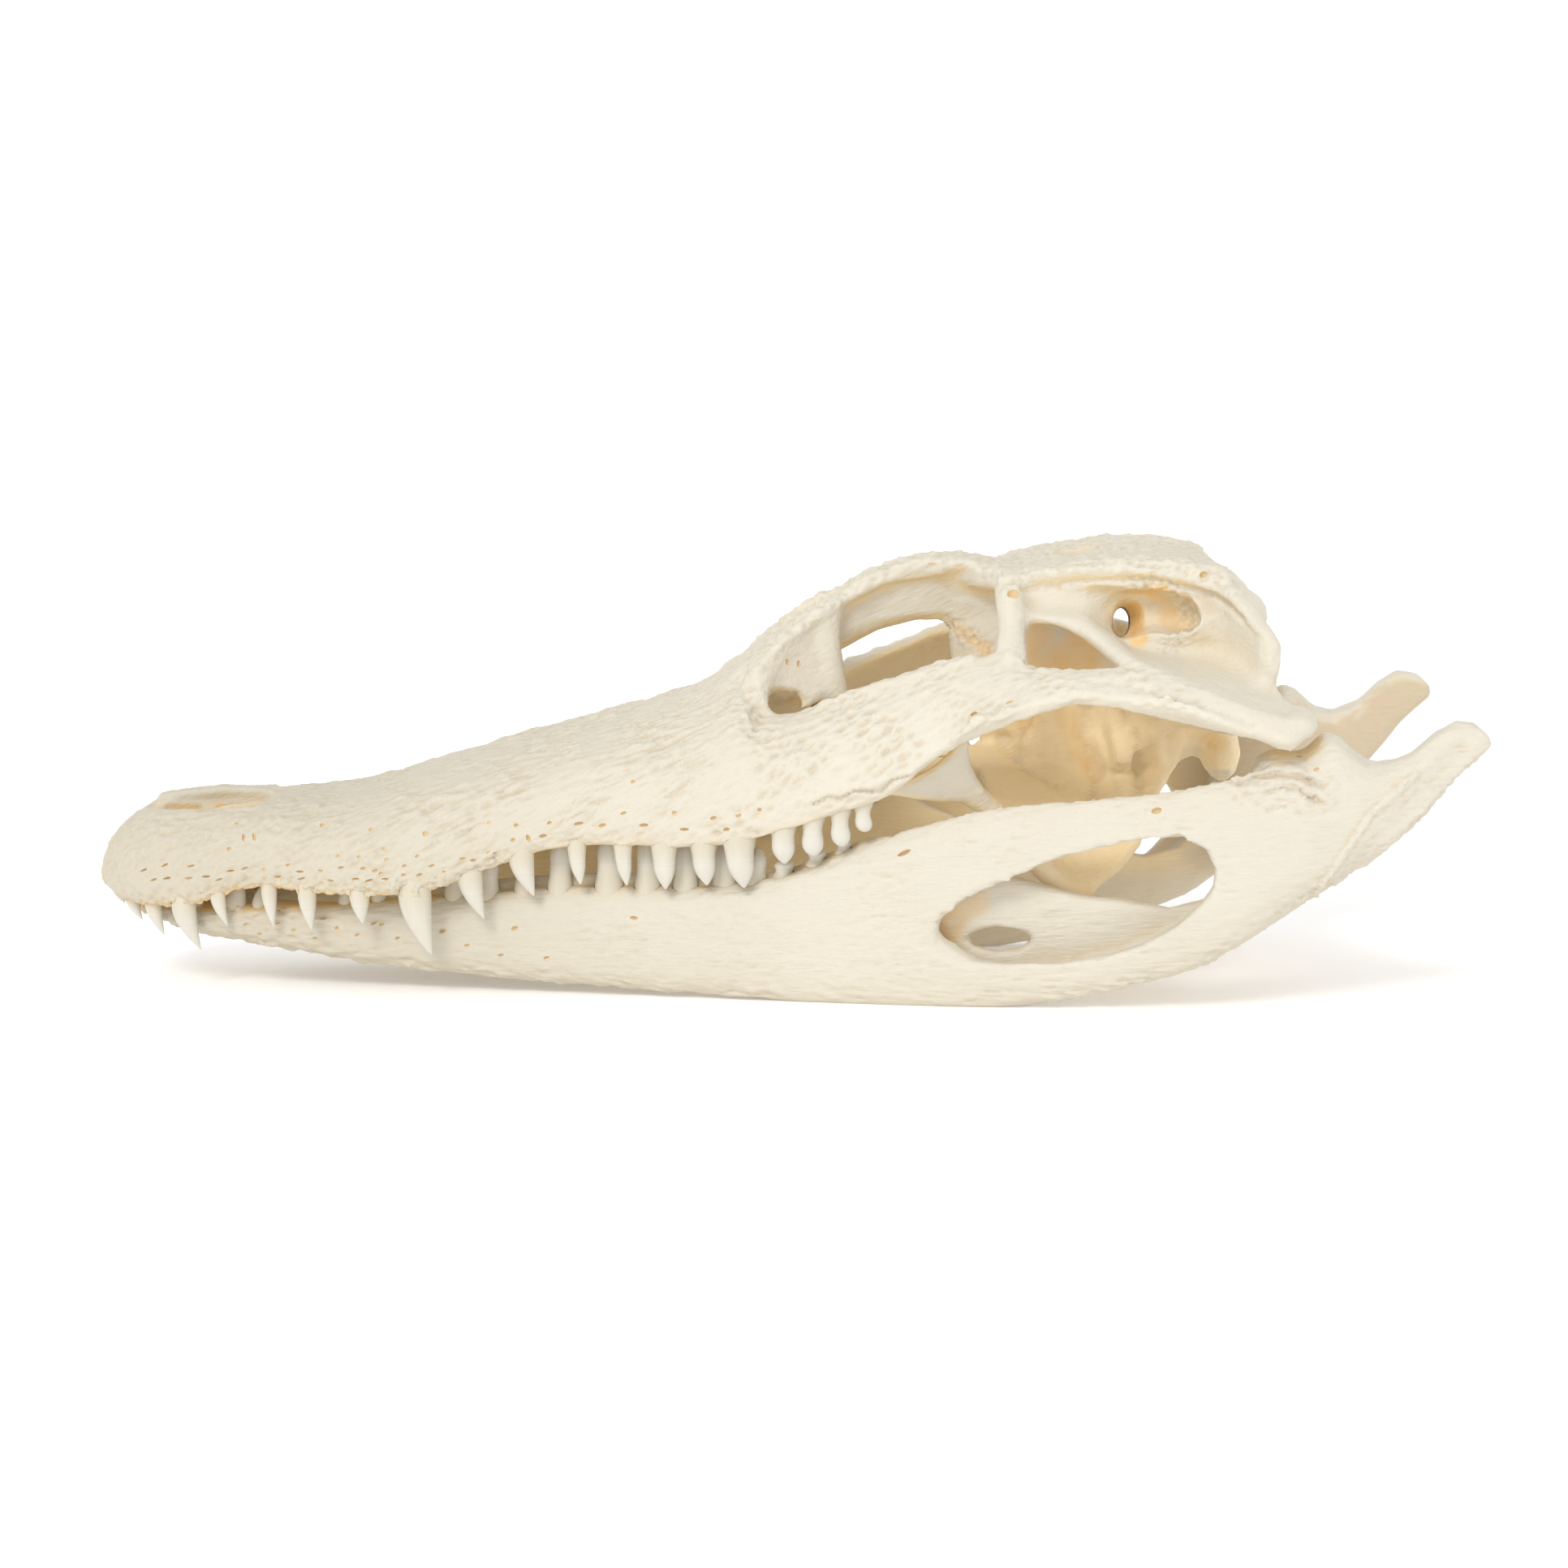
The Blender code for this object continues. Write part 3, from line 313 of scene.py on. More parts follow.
SKULL_WORN = (                       # reach in millimetres, line of pixels
    (7, ((1300, 742), (1345, 762), (1378, 792))), (6, ((1440, 800), (1500, 812), (1545, 845))),
    (6, ((1038, 740), (1036, 790), (1040, 830))),
    (5, ((1390, 850), (1440, 862), (1500, 884), (1560, 905))), (4, ((1600, 905), (1612, 925))),
    (6, ((1130, 968), (1160, 955), (1190, 945))))
JAW_WORN = (
    (5, ((1148, 1162), (1160, 1178), (1180, 1186))), (5, ((1158, 1142), (1180, 1122), (1215, 1100))),
    (3, ((1545, 935), (1560, 945))))
INNER_RIM = 3.2                      # how far the jaw's inner rim stands over its outer one


def spots_on(bone, pixels, step=5):
    """Places on a bone, in skull millimetres, under a line of the photograph's pixels."""
    spots = []
    for (px, py), (next_px, next_py) in zip(pixels, pixels[1:]):
        count = max(1, int(math.hypot(next_px - px, next_py - py) / step))
        for number in range(count + 1):
            part = number / count
            seen = sight_line(px + (next_px - px) * part, py + (next_py - py) * part)
            hit, spot, _, _ = bone.ray_cast(camera.location, seen)
            if hit:
                spots.append(((spot.x - SNOUT_TIP) / MM, spot.y / MM, spot.z / MM))
    return np.array(spots)


def nearness(points, spots, reach):
    """1 on these places and 0 this far from them, on the near side and mirrored on the far."""
    near = points.copy()
    near[:, 1] = np.abs(points[:, 1]) * np.sign(spots[:, 1].mean())
    close = ((near > spots.min(axis=0) - reach) & (near < spots.max(axis=0) + reach)).all(axis=1)
    few = near[close]
    least = np.full(len(few), np.inf, np.float32)
    for spot in spots:
        least = np.minimum(least, ((few - spot) ** 2).sum(axis=1))
    share = np.zeros(len(points), np.float32)
    share[close] = 1 - ramp(np.sqrt(least), 0, reach)
    return share


def carve(bones, forms):
    """Sinks each line of a list into the near bone, and into its mirror image."""
    lines = [(depth, reach, spots_on(bones[0], pixels)) for depth, reach, pixels in forms]
    for bone in bones:
        points, normals = points_of(bone), normals_of(bone)
        sink = sum(depth * nearness(points, spots, reach) for depth, reach, spots in lines)
        move_to(bone, points - normals * sink[:, None])


def wear(bones, lines):
    """Rounds the bone along each line of a list."""
    lines = [(reach, spots_on(bones[0], pixels)) for reach, pixels in lines]
    for bone in bones:
        points = points_of(bone)
        mark(bone, "worn", sum(nearness(points, spots, reach) for reach, spots in lines))
        modify(bone, "SMOOTH", factor=0.7, iterations=110, vertex_group="worn")


wear([upper], SKULL_WORN)
wear(jaws, JAW_WORN)
carve([upper], SKULL_FORMS)
carve(jaws, JAW_FORMS)
for jaw in jaws:
    points = points_of(jaw)
    x, y, z = points.T
    inside = ramp(along(LOWER_ROW, x) - np.abs(y), 0.5, 4)
    rim = ramp(z - along(JAW_TOP, x), -5, -0.5) * ramp(x, 62, 74) * (1 - ramp(x, 156, 166))
    points[:, 2] += INNER_RIM * inside * rim
    move_to(jaw, points)

# The grain of the upper skull. Fine grooves stream back and up along the snout, and pits with
# raised edges cover the cheek, the eye rims and the skull table.

OPEN = (1.5, 2.3)                    # crowding of open surface and of hollows
STREAM = math.radians(28)            # rise of the grain along the snout's flanks
PIT_RISE = math.radians(38)          # and of the pits behind it


def grain(obj, where, kind, size, depth, stretch=1, rise=0, middle=0.5, **look):
    """Raises and sinks the marked surface by a pattern, drawn out along its grain."""
    pattern = bpy.data.textures.new(where, kind)
    pattern.noise_scale = 1
    for name, value in look.items():
        setattr(pattern, name, value)
    bpy.ops.object.empty_add(location=(0, 0, 0), rotation=(0, -rise, 0))
    guide = bpy.context.object
    guide.scale = (size * stretch * MM, size * MM, size * MM)
    bpy.context.view_layer.update()
    modify(obj, "DISPLACE", texture=pattern, texture_coords="OBJECT", texture_coords_object=guide,
           strength=depth * MM, mid_level=middle, vertex_group=where)
    bpy.data.objects.remove(guide)
    bpy.data.textures.remove(pattern)


KNOBS = ((500, 990), (560, 980), (610, 975))             # lines of pixels: a knobbly patch,
FLARE = ((1130, 968), (1160, 955), (1190, 945))          # a smooth flange under the cheek,
CRUMBS = ((1172, 768), (1196, 786), (1222, 803))         # and two ragged edges
EAR_EDGE = ((1405, 722), (1440, 720), (1466, 745), (1468, 775), (1440, 792))
CHEEK_INNER = ((104, 10), (120, 18), (146, 25), (181, 34.5), (206, 44), (232, 52))
ROOF_FROM = ((118, 50), (150, 74), (180, 81))            # height where the roof's pits begin
ROOF_FULL = ((118, 54), (150, 77), (180, 84))            # and where they are at their deepest


def patches(points, size):
    """A soft, uneven spread of patches from 0 to 1, this many millimetres across."""
    x, y, z = points.T * (2 * math.pi / size)
    wave = np.sin(x + 1.7 * np.sin(0.6 * z + 0.4 * y)) + np.sin(0.8 * z + 1.3 * np.sin(0.7 * x))
    return ramp(wave, -1.2, 1.2)


points, normals = points_of(upper), normals_of(upper)
x, y, z = points.T
outward = normals[:, 1] * np.sign(y)
open_air = 1 - ramp(crowding(points, normals), *OPEN)
facing = open_air * ramp(normals[:, 2] + outward, 0.0, 0.5)
snout = facing * (1 - ramp(x, 118, 140))
cheek = facing * ramp(np.abs(y), along(CHEEK_INNER, x) - 1, along(CHEEK_INNER, x) + 1)
cheek *= 1 - ramp(nearness(points, spots_on(upper, FLARE), 7), 0.05, 0.4)
cheek *= ramp(x, 112, 138) * (1 - ramp(x, 214, 236)) * (1 - ramp(z, 71, 74))
roof = open_air * ramp(normals[:, 2] + 0.4 * outward, 0.2, 0.6) * ramp(x, 118, 140)
roof *= ramp(z, along(ROOF_FROM, x), along(ROOF_FULL, x))
uneven = 0.35 + 0.65 * patches(points, 19)
mark(upper, "relief", open_air * 0.8 + 0.2)
mark(upper, "stream", snout * ramp(x, 30, 60) * uneven)
nostril = np.hypot((x - 25) / 17, y / 13)
mark(upper, "front", snout * (1 - ramp(x, 40, 62)) * ramp(nostril, 0.75, 1.15))
mark(upper, "cheek", cheek * uneven)
mark(upper, "roof", roof)
margin = np.hypot(np.abs(y) - along(UPPER_ROW, x) - 1.5, z - along(TOOTH_LINE, x) - 0.5)
mark(upper, "margin", (1 - ramp(margin, 1.5, 4)) * (1 - ramp(x, 75, 100)))
mark(upper, "knobs", snout * nearness(points, spots_on(upper, KNOBS), 8))
ragged = nearness(points, spots_on(upper, CRUMBS), 4) + nearness(points, spots_on(upper, EAR_EDGE), 4)
mark(upper, "crumbs", ragged)
grain(upper, "relief", "CLOUDS", 7, 0.7, noise_depth=2)
grain(upper, "stream", "CLOUDS", 0.9, 1.3, stretch=5, rise=STREAM, noise_depth=1)
grain(upper, "stream", "CLOUDS", 2.4, 1.1, stretch=2.2, rise=STREAM, noise_depth=1)
grain(upper, "front", "CLOUDS", 1.2, 1.0, stretch=1.5, rise=STREAM, noise_depth=1)
grain(upper, "margin", "CLOUDS", 0.8, 1.5, stretch=1.6, noise_depth=1)
grain(upper, "knobs", "VORONOI", 2.2, 1.3, stretch=1.4, rise=STREAM)
grain(upper, "cheek", "VORONOI", 1.9, 1.5, stretch=1.9, rise=PIT_RISE)
grain(upper, "cheek", "CLOUDS", 1.1, 0.6, stretch=1.5, rise=PIT_RISE, noise_depth=1)
grain(upper, "roof", "VORONOI", 1.7, 1.1, stretch=1.3)
grain(upper, "roof", "CLOUDS", 1.2, 0.6, noise_depth=1)
grain(upper, "crumbs", "CLOUDS", 0.9, 1.6, noise_depth=1)

# The grain of the lower jaw: fine lines along its side, and a rough lower edge.

SCAR = ((1545, 965), (1580, 962), (1615, 975))
scar = spots_on(jaws[0], SCAR)
for jaw in jaws:
    points, normals = points_of(jaw), normals_of(jaw)
    x, y, z = points.T
    outward = normals[:, 1] * np.sign(y)
    open_air = 1 - ramp(crowding(points, normals), *OPEN)
    skin = open_air * ramp(outward - 0.3 * normals[:, 2], 0.0, 0.5)
    low_edge = ramp(-normals[:, 2], 0.15, 0.75)
    above_table = ramp(z, 0.2, 1.5)
    mark(jaw, "relief", above_table)
    mark(jaw, "lines", skin * above_table * (0.3 + 0.7 * patches(points, 30)))
    mark(jaw, "edge", skin * low_edge * above_table * (0.4 + 0.6 * patches(points, 15)))
    mark(jaw, "scar", ramp(nearness(points, scar, 11), 0.2, 0.8))
    mark(jaw, "chin", skin * above_table * (1 - ramp(x, 30, 75)))
    grain(jaw, "relief", "CLOUDS", 7, 0.5, noise_depth=2)
    grain(jaw, "lines", "CLOUDS", 0.75, 0.5, stretch=9, rise=math.radians(3), noise_depth=1)
    grain(jaw, "edge", "CLOUDS", 1.3, 1.5, stretch=3, rise=math.radians(-8), noise_depth=1)
    grain(jaw, "scar", "CLOUDS", 1.7, 1.5, stretch=1.8, rise=math.radians(-12), noise_depth=1)
    grain(jaw, "chin", "CLOUDS", 1.1, 1.5, stretch=3, rise=math.radians(-8), noise_depth=1)
    points = points_of(jaw)
    points[:, 2] = np.maximum(points[:, 2], 0)
    move_to(jaw, points)

# The teeth: curved fangs in front, leaf-shaped teeth behind them and round buttons at the
# back, each held in a socket of its own. A dull root collar carries a glossy enamel crown.

UPPER_TEETH = (                      # place, radius at the gum, crown length, rake, bluntness
    (3.8, 1.2, 2.6, 1, 0), (7, 1.6, 5, 2, 0), (11.8, 1.8, 7.1, 2.2, 0),
    (18.5, 2.6, 9.9, 3.4, 0), (25.7, 1.65, 6.9, 2, 0), (36.4, 1.65, 8, 0.9, 0),
    (44.4, 1.95, 8, 0.9, 0), (55.3, 2.1, 6.3, 0.7, 0), (66.6, 3.45, 13.4, 3.4, 0),
    (77.8, 2.65, 9.4, 2.9, 0), (88.2, 2.65, 8.4, 2.6, 0.05), (99.4, 2.0, 8.1, 0.8, 0.25),
    (108.7, 2.0, 8.6, 0.8, 0.3), (117, 2.8, 9.1, 0.3, 0.35), (124.9, 2.9, 8.6, 0.7, 0.45),
    (132, 3.5, 10, 1.1, 0.4), (140.8, 3, 7.8, 0.3, 0.65), (146.7, 2.8, 8, 0.1, 0.95),
    (152.1, 2.5, 7.5, 0.4, 1), (156.6, 2.2, 5.7, 0.5, 1))
LOWER_TEETH = (                      # the longest reach up to the palate and stop there
    (10, 1.4, 4, 0.6, 0), (14.4, 1.4, 4, 0.6, 0), (20.5, 1.5, 4.4, 0.6, 0),
    (28.8, 2.2, 6.4, 0.8, 0), (33.6, 1.5, 4, 0.5, 0), (43.5, 1.5, 4.4, 0.5, 0),
    (51.5, 1.5, 4.4, 0.5, 0), (58.5, 1.7, 5, 0.5, 0), (66, 1.9, 6.6, 0.5, 0.3),
    (74.1, 2.3, 8.4, 0.6, 0.4), (81, 2.5, 9.2, 0.6, 0.5), (88.5, 2.3, 10.2, 0.5, 0.55),
    (95.7, 2.7, 11.6, 0.3, 0.6), (105.7, 3.1, 11.8, 0.2, 0.6), (113.5, 2.8, 11.8, 0.2, 0.6),
    (121.2, 2.7, 11.2, 0.2, 0.6), (129, 2.6, 10.6, 0.2, 0.6), (135.5, 2.5, 7.4, 0.2, 0.7),
    (141, 2.6, 3.4, 0.2, 1), (147.6, 2.4, 2.8, 0.2, 1), (153, 1.9, 2.4, 0.2, 1))
FANG = (                             # share of the crown's length, share of its radius
    (-0.4, 0.84), (-0.12, 0.95), (0.06, 1), (0.2, 0.97), (0.36, 0.88), (0.52, 0.74),
    (0.68, 0.55), (0.82, 0.35), (0.93, 0.17), (1, 0.05))
LEAF = (
    (-0.4, 0.9), (-0.12, 1), (0.04, 0.98), (0.2, 0.84), (0.36, 0.79), (0.52, 0.83),
    (0.66, 0.76), (0.8, 0.54), (0.92, 0.26), (1, 0.06))
BUTTON = (
    (-0.4, 0.9), (-0.12, 1), (0.02, 0.98), (0.2, 0.74), (0.38, 0.64), (0.54, 0.77),
    (0.7, 0.83), (0.84, 0.72), (0.94, 0.48), (1, 0.14))
TOOTH_SIDES = 20
FLATNESS = 0.84
ENAMEL_FROM = 0.24                   # share of the crown's length where the enamel starts


def crown(rings):
    """A tooth of unit radius and length, drawn out of a round foot ring by ring."""
    bpy.ops.mesh.primitive_circle_add(vertices=TOOTH_SIDES, radius=rings[0][1], fill_type="NGON",
                                      location=(0, 0, rings[0][0]))
    tooth = bpy.context.object
    bpy.ops.object.transform_apply()
    bpy.ops.object.mode_set(mode="EDIT")
    for (height, radius), (next_height, next_radius) in zip(rings, rings[1:]):
        rise = {"TRANSFORM_OT_translate": {"value": (0, 0, next_height - height)}}
        bpy.ops.mesh.extrude_region_move(**rise)
        shrink = next_radius / radius
        bpy.ops.transform.resize(value=(shrink, shrink, 1))
    bpy.ops.mesh.select_all(action="SELECT")
    bpy.ops.mesh.normals_make_consistent(inside=False)
    bpy.ops.object.mode_set(mode="OBJECT")
    return tooth


def raw_points(tooth):
    flat = np.empty(len(tooth.data.vertices) * 3, np.float32)
    tooth.data.vertices.foreach_get("co", flat)
    return flat.reshape(-1, 3)


crowns = [crown(rings) for rings in (FANG, LEAF, BUTTON)]
crown_shapes = [raw_points(tooth) for tooth in crowns]


def tooth_at(foot, radius, length, rake, bluntness, way, side):
    """A copy of a crown on its foot, leaning back and in, pointing up (1) or down (-1)."""
    made = crowns[0].copy()
    made.data = crowns[0].data.copy()
    bpy.context.scene.collection.objects.link(made)
    sharper = int(bluntness >= 0.5)
    blend = bluntness * 2 - sharper
    shape = crown_shapes[sharper] * (1 - blend) + crown_shapes[sharper + 1] * blend
    share = shape[:, 2]
    reach = np.interp(share, *zip(*FANG))
    bend = rake * (1 - reach) * (share > 0)
    points = np.column_stack((
        foot[0] + shape[:, 0] * radius + bend,
        foot[1] + shape[:, 1] * radius * FLATNESS - side * bend * 0.3,
        foot[2] + way * share * length))
    move_to(made, points)
    if way < 0:
        made.data.flip_normals()
    crown_share = made.data.attributes.new("crown", "FLOAT", "POINT")
    enamel_share = ramp(share, ENAMEL_FROM - 0.3, ENAMEL_FROM + 0.35)
    crown_share.data.foreach_set("value", enamel_share.astype(np.float32))
    return made


def tone(name, roughness):
    """A new material, its shader and a way to add nodes to it."""
    material = bpy.data.materials.new(name)
    material.use_nodes = True
    nodes, links = material.node_tree.nodes, material.node_tree.links
    shader = nodes["Principled BSDF"]
    shader.inputs["Roughness"].default_value = roughness

    def node(kind, settings=(), **sockets):
        made = nodes.new("ShaderNode" + kind)
        for key, value in dict(settings).items():
            setattr(made, key, value)
        for key, value in sockets.items():
            socket = made.inputs[int(key[1:]) if key[1:].isdigit() else key.replace("_", " ")]
            if isinstance(value, bpy.types.NodeSocket):
                links.new(value, socket)
            else:
                socket.default_value = value
        return made

    return material, shader, node, links


def blend_colour(node, share, first, second):
    """A node that blends two colours, as numbers or as sockets."""
    mix = node("Mix", {"data_type": "RGBA"}, i0=share, i6=first, i7=second)
    return mix.outputs[2]


enamel, shader, node, links = tone("enamel", 0.22)
place = node("TexCoord").outputs["Object"]
crown_part = node("Attribute", {"attribute_name": "crown"}).outputs["Fac"]
drawn_out = node("Mapping", Vector=place, Scale=(900, 900, 90)).outputs[0]
streaks = node("TexNoise", Vector=drawn_out, Scale=1.0, Detail=3.0)
cream = blend_colour(node, streaks.outputs["Fac"], (0.67, 0.62, 0.50, 1), (0.60, 0.53, 0.40, 1))
white = blend_colour(node, streaks.outputs["Fac"], (0.70, 0.67, 0.59, 1), (0.66, 0.62, 0.53, 1))
links.new(blend_colour(node, crown_part, cream, white), shader.inputs["Base Color"])
gloss = node("MapRange", i0=crown_part, i3=0.6, i4=0.2)
links.new(gloss.outputs[0], shader.inputs["Roughness"])
bump = node("Bump", Strength=0.25, Distance=0.0001, Height=streaks.outputs["Fac"])
links.new(bump.outputs[0], shader.inputs["Normal"])

draw = random.Random(7)
sockets = {upper: [], jaws[0]: [], jaws[1]: []}
for jaw_name, teeth, line, row, way in (
        ("upper", UPPER_TEETH, TOOTH_LINE, UPPER_ROW, -1),
        ("lower", LOWER_TEETH, JAW_TOP, LOWER_ROW, 1)):
    for side_name, side in (("left", -1), ("right", 1)):
        made = []
        for place_x, radius, length, rake, bluntness in teeth:
            foot = (place_x, side * along(row, place_x), along(line, place_x) - way * 0.6)
            if side > 0:
                length *= 1 + draw.uniform(-0.06, 0.02)
            made.append(tooth_at(foot, radius, length, rake, bluntness, way, side))
            bone = upper if way < 0 else jaws[(side + 1) // 2]
            sockets[bone].append((foot, radius, way))
        select(*made)
        bpy.ops.object.join()
        rank = bpy.context.object
        rank.name = "teeth_" + jaw_name + "_" + side_name
        modify(rank, "SUBSURF", levels=1, render_levels=1)
        bpy.ops.object.shade_smooth()
        rank.data.materials.append(enamel)
        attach(rank, "root")
for tooth in crowns:
    bpy.data.objects.remove(tooth)

# Holes in the bone: the sockets, and the small openings that nerves and vessels left, most
# of them in rows above and below the teeth. Inside them the bone is amber.

PIXEL = 0.168                        # millimetres of bone under one pixel, on the near side
ROUND_HOLES = (                      # place and size of each, in pixels of the photograph
    (282, 1046, 6, 5), (397, 1017, 6, 6), (457, 1022, 5, 6), (292, 1015, 5, 4), (416, 1055, 6, 4),
    (442, 1056, 5, 4), (355, 1066, 6, 4), (325, 1072, 6, 5), (420, 1069, 8, 4), (394, 1073, 8, 4),
    (447, 1070, 7, 4), (462, 1073, 8, 4), (524, 1027, 7, 8), (602, 1013, 5, 4), (473, 1046, 6, 5),
    (476, 1059, 6, 5), (498, 1067, 6, 4), (514, 1055, 6, 4), (532, 1067, 8, 4), (469, 1076, 6, 4),
    (497, 1078, 6, 4), (517, 1078, 8, 5), (547, 1074, 5, 3), (570, 1058, 8, 4), (583, 1060, 8, 4),
    (601, 1050, 6, 4), (610, 1051, 6, 4), (632, 1035, 6, 5), (651, 1033, 5, 10), (669, 1030, 10, 5),
    (636, 1017, 6, 5), (677, 1014, 6, 5), (713, 1015, 12, 5), (742, 1017, 10, 5), (793, 1017, 12, 5),
    (768, 1002, 8, 4), (831, 1002, 6, 6), (843, 1022, 12, 4), (879, 1008, 9, 5), (910, 1005, 8, 5),
    (895, 1022, 9, 5), (936, 998, 6, 6), (780, 963, 6, 5), (300, 1032, 4, 11), (313, 1031, 4, 11),
    (1200, 880, 9, 5), (1244, 865, 9, 5), (970, 816, 5, 9), (984, 818, 5, 9), (1483, 708, 11, 8),
    (1249, 731, 15, 17), (1160, 932, 12, 6))
SLITS = (
    (232, 1082), (254, 1080), (206, 1082), (189, 1084), (284, 1073), (301, 1070), (343, 1080),
    (369, 1074), (235, 1067), (270, 1084), (371, 1083), (407, 1085), (438, 1083), (454, 1085),
    (475, 1083), (203, 1066), (177, 1072))
JAW_HOLES = (
    (415, 1144, 6, 6), (344, 1121, 7, 5), (399, 1131, 9, 4), (461, 1137, 10, 4), (342, 1137, 6, 4),
    (303, 1139, 7, 4), (320, 1151, 6, 4), (362, 1146, 6, 4), (388, 1156, 6, 4), (440, 1152, 6, 4),
    (470, 1139, 8, 4), (545, 1147, 9, 5), (634, 1144, 9, 6), (575, 1165, 7, 4), (617, 1177, 8, 4),
    (673, 1180, 8, 4), (781, 1131, 10, 5), (490, 1156, 7, 4), (1114, 1051, 18, 6), (1425, 999, 13, 8),
    (1600, 932, 8, 5), (1622, 948, 7, 5))

marrow, shader, node, links = tone("marrow", 0.8)
place = node("TexCoord").outputs["Object"]
blotch = node("TexNoise", Vector=place, Scale=600.0, Detail=2.0).outputs["Fac"]
links.new(blend_colour(node, blotch, (0.72, 0.54, 0.29, 1), (0.78, 0.65, 0.44, 1)),
          shader.inputs["Base Color"])


def hole(spot, inward, lengthwise, wide, high, deep):
    """A closed egg of space sunk into the bone, long along one direction."""
    bpy.ops.mesh.primitive_ico_sphere_add(subdivisions=2, radius=1)
    made = bpy.context.object
    inward = inward.normalized()
    lengthwise = (lengthwise - inward * lengthwise.dot(inward)).normalized()
    across = inward.cross(lengthwise)
    turn = Matrix((lengthwise * wide, across * high, inward * deep)).transposed().to_4x4()
    made.data.transform(Matrix.Translation(spot) @ turn)
    made.data.materials.append(marrow)
    return made


def holes_for(bone, marks, lean):
    """The near side's holes where the photograph shows them, and the far side's like them."""
    made = []
    for px, py, wide, high in marks:
        seen = sight_line(px, py)
        hit, spot, normal, _ = bone.ray_cast(camera.location, seen)
        if not hit:
            continue
        made.append((spot, normal, wide, high))
        shift = Vector((draw.uniform(-1, 1), 0, draw.uniform(-0.5, 0.5))) * MM
        other = jaws[1] if bone is jaws[0] else bone
        mirrored = Vector((spot.x, -spot.y, spot.z)) + shift
        found, far_spot, far_normal, _ = other.closest_point_on_mesh(mirrored)
        if found:
            made.append((far_spot, far_normal, wide * draw.uniform(0.8, 1.2), high))
    eggs = []
    for spot, normal, wide, high in made:
        inward = (-normal + lean * Vector((1, 0, 0.3))).normalized()
        half_wide, half_high = wide * PIXEL * MM / 2, high * PIXEL * MM / 2
        rise = draw.uniform(0.0, 0.5)
        eggs.append(hole(spot, inward, Vector((1, 0, rise)), half_wide, half_high,
                         0.65 * (half_wide + half_high)))
    return eggs


def socket_for(foot, radius, way):
    """The mouth of a tooth's socket, a little wider than the tooth."""
    centre = Vector((foot[0], foot[1], foot[2])) * MM + Vector((SNOUT_TIP, 0, 0))
    reach = (radius + 0.15) * MM
    return hole(centre, Vector((0, 0, -way)), Vector((1, 0, 0)), reach, reach * FLATNESS, 1.8 * MM)


upper_marks = ROUND_HOLES + tuple((px, py, 11, 3) for px, py in SLITS)
upper_holes = holes_for(upper, upper_marks, -0.4)
jaw_holes = holes_for(jaws[0], JAW_HOLES, 0.3)
cut(upper, *upper_holes, *[socket_for(*socket) for socket in sockets[upper]])
for jaw, first in zip(jaws, (0, 1)):
    cut(jaw, *jaw_holes[first::2], *[socket_for(*socket) for socket in sockets[jaw]])

# Finish of the bone: dry ivory, matt, warmer and yellower in the hollows and round the teeth.
# The hollows' warmth is partly the bone's own tone and partly painted bounce light; pits and faces
# that turn down are darkened with painted shade, and near the front teeth painted warm light fills
# the gap between the jaws.

AMBER_REACH = 4.5                    # how far from the tooth rows the bone is stained
DEEP_SKULL = ((134, 0), (150, 26), (165, 34), (185, 38), (230, 42))  # inside this, bone is deep
DEEP_JAW = ((0, -9), (300, -9))      # no part of the jaw lies behind another
DEEP_TOP = ((134, 50), (150, 56), (165, 66), (230, 66))              # if it is below this height
SKULL_AMBER = (                      # reach in millimetres, strength, line of pixels
    (3, 0.6, ((1262, 892), (1275, 888))), (3.5, 0.45, ((1312, 880), (1325, 920), (1350, 955))),
    (2.6, 1, ((1394, 728), (1432, 727))), (2.4, 0.8, ((1425, 735), (1442, 754))),
    (3.2, 1, ((1398, 748), (1403, 785))), (3.4, 0.45, ((1440, 765), (1460, 775))),
    (6, 0.75, ((1278, 785), (1282, 810), (1335, 812), (1325, 798))),
    (1.8, 0.5, ((975, 864), (992, 864))), (2.5, 0.5, ((1180, 775), (1215, 800))),
    (3, 0.5, ((1470, 900), (1500, 915))), (1.6, 0.5, ((195, 993), (250, 996), (320, 989))))
JAW_AMBER = ((4, 0.5, ((1168, 1148), (1180, 1130), (1205, 1112))),)


